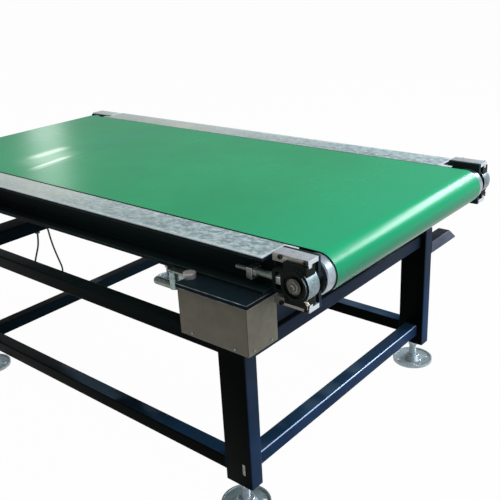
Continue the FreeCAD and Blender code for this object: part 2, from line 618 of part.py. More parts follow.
def make_motor():
    """Make the motor that hangs below the gearbox: flange, finned frame, cowl and terminal pad."""
    x = HEAD_AXIS_X
    y = MOTOR_Y
    top = GEARBOX_BOTTOM
    flange = rod(MOTOR_FLANGE_R, V(x, y, top), V(x, y, top - MOTOR_FLANGE_T))
    frame = rod(MOTOR_R, V(x, y, top - MOTOR_FLANGE_T), V(x, y, top - MOTOR_LENGTH))
    cowl = rod(MOTOR_R + FIN_RISE, V(x, y, top - MOTOR_LENGTH * 0.76), V(x, y, top - MOTOR_LENGTH - 22))
    cowl = cowl.makeFillet(12, [e for e in cowl.Edges if e.BoundBox.ZMax < top - MOTOR_LENGTH - 21])
    motor = flange.fuse(frame).fuse(cowl)
    for i in range(FIN_COUNT):
        fin = block(x + MOTOR_R - 2, x + MOTOR_R + FIN_RISE, y - 1.5, y + 1.5, top - MOTOR_FLANGE_T,
                    top - MOTOR_LENGTH * 0.76)
        fin.rotate(V(x, y, 0), Z_AXIS, 360 / FIN_COUNT * i)
        motor = motor.fuse(fin)
    pad_top = top - TERMINAL_DROP + TERMINAL_Z / 2
    pad = block(x + MOTOR_R / 2, x + MOTOR_R + TERMINAL_PAD, y - TERMINAL_Y / 2 + 6, y + TERMINAL_Y / 2 - 6,
                pad_top - TERMINAL_Z + 6, pad_top - 6)
    return motor.fuse(pad)


def make_terminal_box():
    """Make the terminal box on the motor's side towards the tail, with its proud lid."""
    x0 = HEAD_AXIS_X + MOTOR_R + TERMINAL_PAD
    z = GEARBOX_BOTTOM - TERMINAL_DROP
    body = block(x0, x0 + TERMINAL_X - 8, MOTOR_Y - TERMINAL_Y / 2, MOTOR_Y + TERMINAL_Y / 2,
                 z - TERMINAL_Z / 2, z + TERMINAL_Z / 2)
    lid = block(x0 + TERMINAL_X - 8, x0 + TERMINAL_X, MOTOR_Y - TERMINAL_Y / 2 - 2,
                MOTOR_Y + TERMINAL_Y / 2 + 2, z - TERMINAL_Z / 2 - 2, z + TERMINAL_Z / 2 + 2)
    lid = lid.makeFillet(2, lid.Edges)
    return body.fuse(lid)


def cable_route():
    """List the motor cable's corner points, from the gland under the head member to the motor's."""
    member_low = STAND_TOP - HEAD_BEAM_HEIGHT
    start_z = member_low - GLAND_LENGTH
    x = HEAD_LEG_X
    end = V(HEAD_AXIS_X + MOTOR_R + TERMINAL_PAD + TERMINAL_X / 2 - 4, MOTOR_Y + TERMINAL_Y / 2 + GLAND_LENGTH,
            GEARBOX_BOTTOM - TERMINAL_DROP)
    hanging = [
        # along X, along Y, up from the member's gland
        (0, -159, 0), (0, -161, -36), (-1, -174, -68), (-4, -187, -104), (-8, -187, -144), (-13, -163, -182),
        (-19, -122, -206), (-25, -82, -206), (-31, -61, -178), (-36, -70, -136), (-41, -78, -96),
        (-45, -84, -54), (-49, -86, -14), (-54, -92, 22), (-64, -118, 58), (-81, -157, 79), (-104, -202, 85),
    ]
    points = [V(x + dx, y, start_z + dz) for dx, y, dz in hanging]
    crossing = [
        # share of the way to the motor's gland, along Y, up from that gland
        (0.28, -255, 12), (0.55, -308, 16), (0.82, -349, 8), (1.0, -378, 0),
    ]
    reach = end.x - points[-1].x
    points += [V(points[-1].x + share * reach, y, end.z + dz) for share, y, dz in crossing]
    return points + [end]


def make_cable():
    """Sweep the motor cable along straight runs joined by tangent arcs."""
    points = cable_route()
    edges = []
    here = points[0]
    for before, corner, after in zip(points, points[1:], points[2:]):
        back = before - corner
        ahead = after - corner
        half_turn = (math.pi - back.getAngle(ahead)) / 2
        trim = CABLE_BEND_SHARE * min(back.Length, ahead.Length)
        radius = trim / math.tan(half_turn)
        enter = corner + back.normalize() * trim
        leave = corner + ahead.normalize() * trim
        inward = (back + ahead).normalize()
        middle = corner + inward * (radius / math.cos(half_turn) - radius)
        print(f"cable turn {math.degrees(2 * half_turn):5.1f} deg radius {radius:6.1f} mm")
        edges.append(Part.makeLine(here, enter))
        edges.append(Part.Arc(enter, middle, leave).toShape())
        here = leave
    edges.append(Part.makeLine(here, points[-1]))
    spine = Part.Wire(edges)
    section = Part.Wire(Part.makeCircle(CABLE_R, points[0], points[1] - points[0]))
    cable = spine.makePipeShell([section], True, True)
    expected = math.pi * CABLE_R ** 2 * spine.Length
    print(f"cable length {spine.Length:.1f} mm, volume ratio {cable.Volume / expected:.4f}")
    return cable


def make_gland(base, out):
    """Make one cable gland that stands on a face at base and points along out."""
    nut = prism([base + V(*corner) for corner in gland_corners(out)], out * (GLAND_LENGTH / 2))
    dome = rod(GLAND_R, base + out * (GLAND_LENGTH / 2), base + out * GLAND_LENGTH)
    return nut.fuse(dome)


def gland_corners(out):
    """List a gland nut's six corners round its axis."""
    radius = GLAND_FLATS / math.sqrt(3)
    side = X_AXIS.cross(out)
    corners = []
    for i in range(6):
        turn = math.radians(60 * i)
        corners.append(X_AXIS * (radius * math.cos(turn)) + side * (radius * math.sin(turn)))
    return corners


def make_glands():
    """Make the glands at both ends of the motor cable."""
    points = cable_route()
    down = V(0, 0, -1)
    first = make_gland(points[0] - down * GLAND_LENGTH, down)
    last = make_gland(points[-1] - Y_AXIS * GLAND_LENGTH, Y_AXIS)
    return Part.makeCompound([first, last])


def make_clamp():
    """Make the zinc clamp beside the control box: link, hub, rounded bar, strap and disc."""
    hub_low = RAIL_BOTTOM - CLAMP_LOW
    hub = rod(CLAMP_R, V(CLAMP_X, CLAMP_Y, hub_low), V(CLAMP_X, CLAMP_Y, RAIL_BOTTOM))
    bar_z = hub_low + CLAMP_BAR_R - 4
    bar = rod(CLAMP_BAR_R, V(CLAMP_X, CLAMP_Y, bar_z), V(CLAMP_BAR_END, CLAMP_Y, bar_z))
    bar = bar.fuse(Part.makeSphere(CLAMP_BAR_R, V(CLAMP_BAR_END, CLAMP_Y, bar_z)))
    link = block(CLAMP_X - 20, CLAMP_X - 8, CLAMP_Y, -RAIL_OUT_Y, RAIL_BOTTOM - 16, RAIL_BOTTOM + 7)
    strap = block(CLAMP_X - CLAMP_R, CLAMP_DISC_X, CLAMP_Y - CLAMP_STRAP_HALF, CLAMP_Y + CLAMP_STRAP_HALF,
                  RAIL_BOTTOM, RAIL_BOTTOM + CLAMP_STRAP_T)
    disc_z = RAIL_BOTTOM
    disc = rod(CLAMP_DISC_R, V(CLAMP_DISC_X, CLAMP_Y - 6, disc_z),
               V(CLAMP_DISC_X, CLAMP_Y - 6, disc_z + CLAMP_STRAP_T + CLAMP_DISC_T))
    disc = disc.makeFillet(2, [e for e in disc.Edges if e.BoundBox.ZMin > disc_z + 1])
    return hub.fuse(bar).fuse(link).fuse(strap).fuse(disc).removeSplitter()


def make_gearbox_arm():
    """Make the plate that fixes the gearbox to the near rail's flanges."""
    y1 = -RAIL_OUT_Y
    y0 = MOTOR_Y + GEARBOX_Y / 2
    x0 = HEAD_AXIS_X + SHAFT_R + ARM_CLEARANCE
    plate = block(x0, x0 + ARM_LENGTH, y0, y1, RAIL_BOTTOM, RAIL_TOP)
    return plate.makeFillet(8, [e for e in plate.Edges if abs(e.tangentAt(e.FirstParameter).y) > 0.99])


def to_near(shape):
    """Mirror a far shape to the near side."""
    return shape.mirror(V(0, 0, 0), Y_AXIS)


def build():
    """Build every node, in the bed's own frame."""
    nodes = {
        "belt": make_belt(),
        "slider_bed": make_bed(),
        "bed_ties": make_ties(),
        "tail_roller": make_drum(TAIL_AXIS_X, 0.0, TAKEUP_Y - HOUSING_T / 2, TAKEUP_Y + RING_PROUD),
        "head_drum": make_drum(HEAD_AXIS_X, GEARBOX_GAP + GEARBOX_Y + 8, WEB_IN_Y, WEB_IN_Y + FLANGE_DEPTH + 5),
        "return_hangers": make_hangers(),
        "bed_posts": make_posts(),
        "stand_stub": make_stub(),
        "control_box": make_box(),
        "control_box_cap": make_cap(),
        "bed_clamp": make_clamp(),
        "gearbox": make_gearbox(),
        "gearbox_arm": make_gearbox_arm(),
        "drive_motor": make_motor(),
        "terminal_box": make_terminal_box(),
        "cable_glands": make_glands(),
        "motor_cable": make_cable(),
        "upper_cross_beam_tail": make_cross_beam(TAIL_LEG_X, TUBE_WIDTH, TUBE_HEIGHT, BELT_TOP - TAIL_BEAM_DROP),
        "upper_cross_beam_head": make_cross_beam(HEAD_LEG_X, LEG_X, HEAD_BEAM_HEIGHT, STAND_TOP),
    }
    for index, x in enumerate(RETURN_XS):
        nodes[f"return_roller_{index + 1}"] = make_return_roller(x)
    far_pieces = {
        "side_rail": make_rail(),
        "cover_strip": make_strip(),
        "end_plate_tail": make_end_plate(),
        "guide_bars_tail": make_guide_bars(),
        "bearing_housing_tail": make_housing(),
        "adjusting_screw_tail": make_screw(),
        "end_plate_head": make_head_plate(),
        "bearing_housing_head": make_flange_bearing(),
        "head_cover": make_head_cover(),
    }
    for name, shape in far_pieces.items():
        nodes[f"{name}_far"] = shape
        nodes[f"{name}_near"] = to_near(shape)
    for end, x in (("tail", TAIL_LEG_X), ("head", HEAD_LEG_X)):
        nodes[f"lower_cross_beam_{end}"] = make_cross_beam(x, TUBE_WIDTH, TUBE_HEIGHT, LOW_BEAM_TOP)
        for side_name, side in (("near", -1), ("far", 1)):
            nodes[f"leg_{end}_{side_name}"] = make_legs(x, side)
            nodes[f"foot_{end}_{side_name}"] = make_foot(x, side)
    for side_name, side in (("near", -1), ("far", 1)):
        nodes[f"upper_side_beam_{side_name}"] = make_side_beam(side, STAND_TOP)
        nodes[f"lower_side_beam_{side_name}"] = make_side_beam(side, LOW_BEAM_TOP)
    return nodes


def main():
    """Build the nodes, centre them over the floor origin and write one STEP file each."""
    nodes = build()
    box = FreeCAD.BoundBox()
    for shape in nodes.values():
        box.add(shape.BoundBox)
    shift = V(-box.Center.x, -box.Center.y, -box.ZMin)
    os.makedirs("parts", exist_ok=True)
    for name, shape in nodes.items():
        placed = shape.translated(shift)
        placed.exportStep(f"parts/{name}.step")
        solids = len(placed.Solids)
        print(f"{name:26s} solids {solids} volume {placed.Volume / 1000:9.1f} cm3 valid {placed.isValid()}")
    print("nodes", len(nodes), "size", round(box.XLength, 1), round(box.YLength, 1), round(box.ZLength, 1))
    print("shift", shift)


if __name__ == "__main__":
    main()
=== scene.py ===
"""Looks of a level slider-bed belt conveyor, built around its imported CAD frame."""

import json
import logging
import math
from contextlib import contextmanager
from dataclasses import dataclass
from enum import Enum
from itertools import product
from typing import Callable, Iterator, Optional, Sequence, Union

import bpy
from mathutils import Euler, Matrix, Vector

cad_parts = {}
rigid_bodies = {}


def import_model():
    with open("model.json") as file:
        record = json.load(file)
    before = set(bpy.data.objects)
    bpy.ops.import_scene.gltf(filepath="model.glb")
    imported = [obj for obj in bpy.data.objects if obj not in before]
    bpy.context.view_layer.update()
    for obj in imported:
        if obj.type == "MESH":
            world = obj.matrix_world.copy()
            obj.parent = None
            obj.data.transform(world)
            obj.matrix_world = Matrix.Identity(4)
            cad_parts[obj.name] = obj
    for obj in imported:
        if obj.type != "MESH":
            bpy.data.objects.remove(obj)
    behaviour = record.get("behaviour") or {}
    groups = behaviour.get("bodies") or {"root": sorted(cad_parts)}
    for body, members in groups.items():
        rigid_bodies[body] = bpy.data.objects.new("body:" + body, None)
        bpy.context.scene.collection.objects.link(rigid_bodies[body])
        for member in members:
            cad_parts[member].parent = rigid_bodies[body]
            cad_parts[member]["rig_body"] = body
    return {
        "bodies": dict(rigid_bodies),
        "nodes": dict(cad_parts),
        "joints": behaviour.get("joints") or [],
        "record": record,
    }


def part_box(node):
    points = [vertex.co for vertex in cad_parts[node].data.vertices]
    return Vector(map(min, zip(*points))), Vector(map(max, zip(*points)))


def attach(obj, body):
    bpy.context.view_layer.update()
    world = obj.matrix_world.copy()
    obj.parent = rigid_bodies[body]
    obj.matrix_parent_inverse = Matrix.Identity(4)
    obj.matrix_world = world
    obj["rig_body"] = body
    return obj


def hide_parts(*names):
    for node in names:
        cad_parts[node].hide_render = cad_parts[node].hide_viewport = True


LOG = logging.getLogger("conveyor")
MM = 0.001  # a millimetre, in metres
Colour = tuple[float, float, float]
Point = tuple[float, float, float]
Span = tuple[float, float]
Value = Union["Signal", int, float]
PlaceTest = Callable[[Vector, Vector], bool]


class Slot(Enum):
    """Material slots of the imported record."""

    BELT = "belt_green"
    STRIP = "zinc_strip"
    NAVY = "navy_frame"
    ZINC = "zinc_fitting"
    CAST = "cast_housing"
    DRUM = "drum_steel"
    BED = "bed_steel"
    SHEET = "box_sheet"
    ALLOY = "gearbox_alloy"
    MOTOR = "motor_paint"
    PLASTIC = "black_plastic"
    SHEATH = "cable_black"


class Axis(Enum):
    """Directions of the row frame."""

    X = Vector((1, 0, 0))
    Y = Vector((0, 1, 0))
    Z = Vector((0, 0, 1))


class Side(Enum):
    """The two sides of the belt, with their sign along Y."""

    NEAR = -1
    FAR = 1

    def of(self, part: str) -> str:
        """Name the one of a pair that is on this side."""
        return f"{part}_{self.name.lower()}"


class Element(Enum):
    """What edit mode selects."""

    VERT = 0
    EDGE = 1
    FACE = 2


class Head(Enum):
    """The kinds of screw head, with the number of their sides."""

    SOCKET = 28
    HEX = 6


@dataclass(frozen=True)
class Screw:
    """A screw's head: its radius and height in millimetres, and its kind."""

    radius: float
    height: float
    kind: Head = Head.SOCKET


class Signal:
    """A shader value that adds Math nodes as Python expressions are made with it."""

    def __init__(self, graph: "Graph", socket: bpy.types.NodeSocket) -> None:
        """Wrap an output socket of a graph."""
        self.graph = graph
        self.socket = socket

    def _math(self, operation: str, *values: Value) -> "Signal":
        """Add a Math node and give its value."""
        return self.graph.node("ShaderNodeMath", {"operation": operation}, dict(enumerate(values)))

    def __add__(self, other: Value) -> "Signal":
        """Add a value."""
        return self._math("ADD", self, other)

    __radd__ = __add__

    def __sub__(self, other: Value) -> "Signal":
        """Take a value away."""
        return self._math("SUBTRACT", self, other)

    def __rsub__(self, other: float) -> "Signal":
        """Take this from a number."""
        return self._math("SUBTRACT", other, self)

    def __mul__(self, other: Value) -> "Signal":
        """Multiply by a value."""
        return self._math("MULTIPLY", self, other)

    __rmul__ = __mul__

    def __abs__(self) -> "Signal":
        """Give the size without its sign."""
        return self._math("ABSOLUTE", self)

    def highest(self, other: Value) -> "Signal":
        """Give the larger of two values."""
        return self._math("MAXIMUM", self, other)

    def lowest(self, other: Value) -> "Signal":
        """Give the smaller of two values."""
        return self._math("MINIMUM", self, other)

    def step(self, start: float, end: float) -> "Signal":
        """Ease from 0 at start to 1 at end.

        Args:
            start: the value that gives 0.
            end: the value that gives 1.

        Returns:
            The eased value, between 0 and 1.
        """
        rising = start < end
        low, high = (start, end) if rising else (end, start)
        eased = self.graph.node("ShaderNodeMapRange", {"interpolation_type": "SMOOTHSTEP"},
                                {"Value": self, "From Min": low, "From Max": high})
        return eased if rising else 1 - eased


class Graph:
    """A node tree: a material's with one Principled surface, or the world's with one background."""

    def __init__(self, name: str, world: Optional[bpy.types.World] = None) -> None:
        """Start a material, or take over the world's own tree.

        Args:
            name: the material's name.
            world: the world, where the graph is the world's.
        """
        if world:
            world.use_nodes = True
            self.tree = world.node_tree
            self.output = self.tree.nodes["World Output"]
            self.surface = self.tree.nodes["Background"]
            return
        self.material = bpy.data.materials.new(name)
        self.material.use_nodes = True
        self.tree = self.material.node_tree
        self.tree.nodes.clear()
        self.output = self.tree.nodes.new("ShaderNodeOutputMaterial")
        self.surface = self.tree.nodes.new("ShaderNodeBsdfPrincipled")
        self.tree.links.new(self.surface.outputs[0], self.output.inputs["Surface"])

    def node(self, kind: str, settings: dict, inputs: dict, out: Union[int, str] = 0) -> Signal:
        """Add a node, set it up, then feed its inputs.

        Args:
            kind: the node's type.
            settings: the node's own properties, set first.
            inputs: numbers, colours or signals by socket name or index.
            out: the output to give back.

        Returns:
            The chosen output.
        """
        made = self.tree.nodes.new(kind)
        for key, value in settings.items():
            setattr(made, key, value)
        for key, value in inputs.items():
            self.feed(made.inputs[key], value)
        return Signal(self, made.outputs[out])

    def feed(self, socket: bpy.types.NodeSocket, value: Union[Value, Sequence[float]]) -> None:
        """Link a signal to a socket or set the socket's own value.

        Args:
            socket: the input socket.
            value: a signal, a number, a colour or a vector.
        """
        if isinstance(value, Signal):
            self.tree.links.new(value.socket, socket)
        elif socket.type == "RGBA" and len(value) == 3:
            socket.default_value = (*value, 1.0)
        else:
            socket.default_value = value

    def place(self, scale: Point = (1, 1, 1)) -> Signal:
        """Give the object coordinates, with each axis stretched."""
        raw = self.node("ShaderNodeTexCoord", {}, {}, "Object")
        return self.node("ShaderNodeMapping", {}, {"Vector": raw, "Scale": scale})

    def along(self, axis: Axis) -> Signal:
        """Give one object coordinate, in metres."""
        return self.node("ShaderNodeSeparateXYZ", {}, {0: self.place()}, axis.name)

    def facing(self, axis: Axis) -> Signal:
        """Give one component of the true surface normal."""
        normal = self.node("ShaderNodeNewGeometry", {}, {}, "Normal")
        return self.node("ShaderNodeSeparateXYZ", {}, {0: normal}, axis.name)

    def noise(self, size_mm: float, detail: float = 3.0, rough: float = 0.55,
              stretch: Point = (1, 1, 1), warp: float = 0.0) -> Signal:
        """Add fractal noise.

        Args:
            size_mm: the size of its largest features.
            detail: the number of finer octaves.
            rough: how strong the finer octaves are.
            stretch: how much each axis is stretched.
            warp: how much it is distorted.

        Returns:
            A value about one half.
        """
        values = {"Vector": self.place(stretch), "Scale": 1 / (size_mm * MM), "Detail": detail,
                  "Roughness": rough, "Distortion": warp}
        return self.node("ShaderNodeTexNoise", {}, values, "Fac")

    def cells(self, size_mm: float, stretch: Point = (1, 1, 1)) -> Signal:
        """Give one random value for each Voronoi cell of a size."""
        colour = self.node("ShaderNodeTexVoronoi", {"feature": "F1"},
                           {"Vector": self.place(stretch), "Scale": 1 / (size_mm * MM)}, "Color")
        return self.node("ShaderNodeSeparateColor", {}, {0: colour}, 0)

    def attribute(self, name: str) -> Signal:
        """Give a mesh attribute's value."""
        return self.node("ShaderNodeAttribute", {"attribute_name": name}, {}, "Fac")

    def mix(self, factor: Value, a: Union[Signal, Colour], b: Union[Signal, Colour]) -> Signal:
        """Blend from a first colour at 0 to a second one at 1."""
        return self.node("ShaderNodeMix", {"data_type": "RGBA"}, {0: factor, 6: a, 7: b}, 2)

    def bump(self, height: Signal, depth_mm: float, strength: float = 1.0) -> None:
        """Raise the surface by a height between 0 and 1, times the relief's full depth."""
        values = {"Height": height, "Distance": depth_mm * MM, "Strength": strength}
        self.set("Normal", self.node("ShaderNodeBump", {}, values, "Normal"))

    def set(self, socket: str, value: Union[Value, Sequence[float]]) -> None:
        """Feed one of the surface shader's sockets."""
        self.feed(self.surface.inputs[socket], value)


@dataclass(frozen=True)
class Finish:
    """A surface finish, whose material is made once."""

    label: str

    def paint(self, graph: Graph) -> None:
        """Add the finish's nodes to a graph."""
        raise NotImplementedError

    def material(self) -> bpy.types.Material:
        """Give the finish's material, made at its first use.

        Returns:
            The material.
        """
        found = bpy.data.materials.get(self.label)
        if found is None:
            graph = Graph(self.label)
            self.paint(graph)
            found = graph.material
        return found


@dataclass(frozen=True)
class Enamel(Finish):
    """Satin enamel on steel with painted light: darker low down, lighter towards the tail, a painted bluish
    sheen on faces towards the tail and painted glints low down; dusty on top and rubbed along its edges.
    """

    colour: Colour = (0.0034, 0.0056, 0.0056)
    # Painted light: lit is lighter towards the tail; the next four colours are the painted sheen on faces
    # towards the tail, on low tops, up high and towards the head.
    lit: Colour = (0.0105, 0.0190, 0.0180)
    painted_sheen: Colour = (0.0165, 0.0390, 0.0900)
    painted_top_sheen: Colour = (0.0135, 0.0470, 0.1020)
    painted_high_sheen: Colour = (0.0215, 0.0300, 0.0480)
    painted_head_sheen: Colour = (0.0040, 0.0115, 0.0175)
    dust: Colour = (0.075, 0.088, 0.10)
    # glint is the colour of painted glints on low tops.
    glint: Colour = (0.070, 0.110, 0.160)
    bare: Colour = (0.34, 0.37, 0.40)
    roughness: float = 0.36
    dust_share: float = 0.06
    wear_share: float = 0.22
    gloss: float = 0.012
    sheen: float = 0.10
    low_z: Span = (0.42, 0.16)
    high_z: Span = (0.38, 0.52)
    tail_x: Span = (-1.15, -0.45)
    beam_x: Span = (-0.62, -0.14)

    def paint(self, graph: Graph) -> None:
        """Add enamel with painted light, shade, sheen and glints, and dust, scuffs and rubbed edges.

        Args:
            graph: the graph to fill.
        """
        tone = graph.noise(90, 4)
        peel = graph.noise(2.2, 2)
        upward = graph.facing(Axis.Z).step(0.6, 0.95)
        low = graph.along(Axis.Z).step(*self.low_z)
        high = graph.along(Axis.Z).step(*self.high_z)
        reach = graph.along(Axis.X) - Conveyor.tail_end.x
        tail = reach.step(*self.tail_x)
        # Painted shade and light: darker low down on the legs, lighter towards the tail up high.
        dark = tuple(c * 0.3 for c in self.colour)
        painted_light_by_place = graph.mix(high, dark, graph.mix(tail, self.colour, self.lit))
        shade = graph.mix(tone.step(0.3, 0.75) * 0.35 * high, painted_light_by_place, self.lit)
        # Painted sheen mask: faces towards the tail, and low tops near the tail, in patches.
        lit_top = low * upward * reach.step(*self.beam_x) * 0.9
        daylight = (graph.facing(Axis.X).step(0.15, 0.95) + lit_top).lowest(1.0)
        painted_sheen_mask = daylight * (0.75 + 0.25 * graph.noise(160, 3).step(0.35, 0.65))
        # Painted glints on low tops.
        glints = graph.noise(120, 2, 0.4, (0.5, 1, 0.5)).step(0.55, 0.66) * upward * low
        film = graph.noise(45, 5, 0.65).step(0.36, 0.78)
        scuffs = graph.noise(30, 6, 0.7, (0.25, 1, 2.5), 1.2).step(0.64, 0.74)
        dusty = (upward * (0.35 + 0.65 * film) * self.dust_share + scuffs * 0.03).lowest(1.0)
        worn = graph.attribute("worn") * (0.4 + 0.6 * graph.noise(24, 3, 0.6).step(0.40, 0.66))
        bare = (worn * self.wear_share).lowest(1.0)
        # The painted sheen's colour by height, facing and distance from the tail.
        painted_low_sheen = graph.mix(upward, self.painted_sheen, self.painted_top_sheen)
        painted_sheen = graph.mix(tail, self.painted_head_sheen, graph.mix(low, self.painted_high_sheen, painted_low_sheen))
        enamel = graph.mix(dusty, graph.mix(painted_sheen_mask, shade, painted_sheen), self.dust)
        glinting = graph.mix(glints * 0.55, enamel, self.glint)
        graph.set("Base Color", graph.mix(bare, glinting, self.bare))
        graph.set("Metallic", bare * 0.6)
        graph.set("Specular IOR Level", self.gloss)
        graph.set("Roughness", self.roughness + dusty * 0.5 + (tone - 0.5) * 0.18)
        graph.set("Coat Weight", (upward * self.sheen + worn * 0.3).lowest(1.0))
        graph.set("Coat Roughness", 0.2)
        graph.bump(peel * 0.7 + scuffs * 0.3, 0.05, 0.5)


@dataclass(frozen=True)
class Galvanised(Finish):
    """Galvanised sheet with its spangle, long brush marks and bright cut edges, a painted pale haze towards
    the head end and a painted highlight at the tail end.
    """

    dull: Colour = (0.155, 0.218, 0.230)
    bright: Colour = (0.440, 0.530, 0.535)
    edge: Colour = (0.72, 0.78, 0.80)
    # film is the painted haze towards the head end; rim lightens the outer edge and gives the painted
    # highlight at the tail end.
    film: Colour = (0.62, 0.61, 0.51)
    rim: Colour = (0.66, 0.72, 0.75)
    fade_x: Span = (-0.35, 0.45)
    rim_y: Span = (0.406, 0.418)
    end_x: Span = (-0.007, -0.003)

    def paint(self, graph: Graph) -> None:
        """Add spangle, brush marks, edges, the painted haze and the painted highlight.

        Args:
            graph: the graph to fill.
        """
        spangle = graph.cells(6.5, (1, 1.3, 1))
        blotch = graph.noise(15, 6, 0.68, (0.8, 1.2, 1), 0.5)
        cloud = graph.noise(150, 3)
        brushed = graph.noise(7, 4, 0.6, (0.06, 2.2, 1))
        # Painted reflection: paler, less mottled and beige towards the head end.
        fade = graph.along(Axis.X).step(*self.fade_x)
        rim = abs(graph.along(Axis.Y) - Conveyor.centre_y).step(*self.rim_y)
        end = (graph.along(Axis.X) - Conveyor.tail_end.x).step(*self.end_x)
        mottle = (blotch * 0.78 + spangle * 0.08 + brushed * 0.16).step(0.40, 0.64)
        light = (mottle * (0.4 + 0.6 * fade) + 0.55 * (1 - fade)).lowest(1.0)
        shade = graph.mix(light, self.dull, self.bright)
        head_haze_mask = (0.4 + cloud.step(0.42, 0.75) * 0.5) * (1 - 0.9 * fade)
        haze = graph.mix(head_haze_mask, shade, self.film)
        worn = graph.attribute("worn")
        # Lighter along the outer edge, with a painted highlight at the tail end.
        rimmed = graph.mix((rim * 0.35 + end * 0.7).lowest(0.9), haze, self.rim)
        graph.set("Base Color", graph.mix(worn * 0.8, rimmed, self.edge))
        graph.set("Metallic", 0.25)
        graph.set("Roughness", 0.50 + mottle * 0.10 - worn * 0.14)
        graph.bump(mottle * 0.6 + brushed * 0.4, 0.05, 0.35)


@dataclass(frozen=True)
class Plated(Finish):
    """Zinc-plated or bare machined steel, with handling marks and tarnish."""

    colour: Colour = (0.47, 0.455, 0.42)
    tarnish: Colour = (0.20, 0.185, 0.155)
    edge: Colour = (0.88, 0.89, 0.90)
    roughness: float = 0.34
    grain: Point = (0.08, 1.6, 1.6)
    metal: float = 0.88

    def paint(self, graph: Graph) -> None:
        """Add brushing, tarnish and polished edges.

        Args:
            graph: the graph to fill.
        """
        brushed = graph.noise(3, 4, 0.6, self.grain)
        stain = graph.noise(14, 5, 0.65)
        worn = graph.attribute("worn")
        base = graph.mix(stain.step(0.46, 0.72) * 0.75, self.colour, self.tarnish)
        lined = graph.mix(brushed.step(0.35, 0.8) * 0.35, base, self.edge)
        graph.set("Base Color", graph.mix(worn * 0.85, lined, self.edge))
        graph.set("Metallic", self.metal + worn * (1 - self.metal) * 0.8)
        graph.set("Roughness", self.roughness + stain * 0.22 - worn * 0.12)
        graph.bump(brushed, 0.03, 0.4)


@dataclass(frozen=True)
class CastIron(Finish):
    """Painted cast iron: a coarse skin, oily stains and a worn sheen."""

    colour: Colour = (0.0036, 0.0070, 0.0050)
    rubbed: Colour = (0.050, 0.075, 0.062)
    gloss: float = 0.07

    def paint(self, graph: Graph) -> None:
        """Add the casting's skin and its stains.

        Args:
            graph: the graph to fill.
        """
        skin = graph.noise(2.4, 4, 0.7)
        stain = graph.noise(12, 4, 0.6)
        worn = graph.attribute("worn") * graph.noise(6, 3).step(0.38, 0.6)
        rubbed = (stain.step(0.55, 0.8) * 0.12 + worn * 0.75).lowest(1.0)
        graph.set("Base Color", graph.mix(rubbed, self.colour, self.rubbed))
        graph.set("Metallic", rubbed * 0.5)
        graph.set("Specular IOR Level", self.gloss)
        graph.set("Roughness", 0.34 + stain * 0.2)
        graph.bump(skin, 0.25, 0.55)


@dataclass(frozen=True)
class TurnedSteel(Finish):
    """Turned and polished steel, with fine rings about the drums' axes."""

    colour: Colour = (0.40, 0.46, 0.51)
    dark: Colour = (0.13, 0.15, 0.155)
    rust: Colour = (0.20, 0.12, 0.07)

    def paint(self, graph: Graph) -> None:
        """Add turning rings, smears and rust specks.

        Args:
            graph: the graph to fill.
        """
        rings = graph.noise(1.2, 3, 0.6, (0.1, 3, 0.1))
        smear = graph.noise(22, 4, 0.6)
        speck = graph.noise(3, 5, 0.75).step(0.66, 0.76)
        base = graph.mix(smear.step(0.42, 0.8) * 0.6, self.colour, self.dark)
        graph.set("Base Color", graph.mix(speck * 0.5, base, self.rust))
        graph.set("Metallic", 1.0 - speck * 0.6)
        graph.set("Roughness", 0.2 + smear * 0.22 + speck * 0.3)
        graph.bump(rings, 0.02, 0.35)


@dataclass(frozen=True)
class Ridge:
    """A soft line across the belt's top, in metres along and across it from the strips' tail end."""

    start: Span
    end: Span
    width: float
    fade: float = 0.05
    share: float = 1.0

    def on(self, graph: Graph) -> Signal:
        """Show the line, which dies away over its width and past both of its ends.

        Args:
            graph: the graph to fill.

        Returns:
            The line's share on it, 0 away from it.
        """
        (start_x, start_y), (end_x, end_y) = self.start, self.end
        x = graph.along(Axis.X) - Conveyor.tail_end.x
        y = graph.along(Axis.Y) - Conveyor.centre_y
        slope = (end_x - start_x) / (end_y - start_y)
        line = 1 - abs(x - start_x - (y - start_y) * slope).step(0, self.width)
        begun = y.step(start_y - self.fade, start_y + self.fade)
        return line * begun * y.step(end_y + self.fade, end_y - self.fade) * self.share


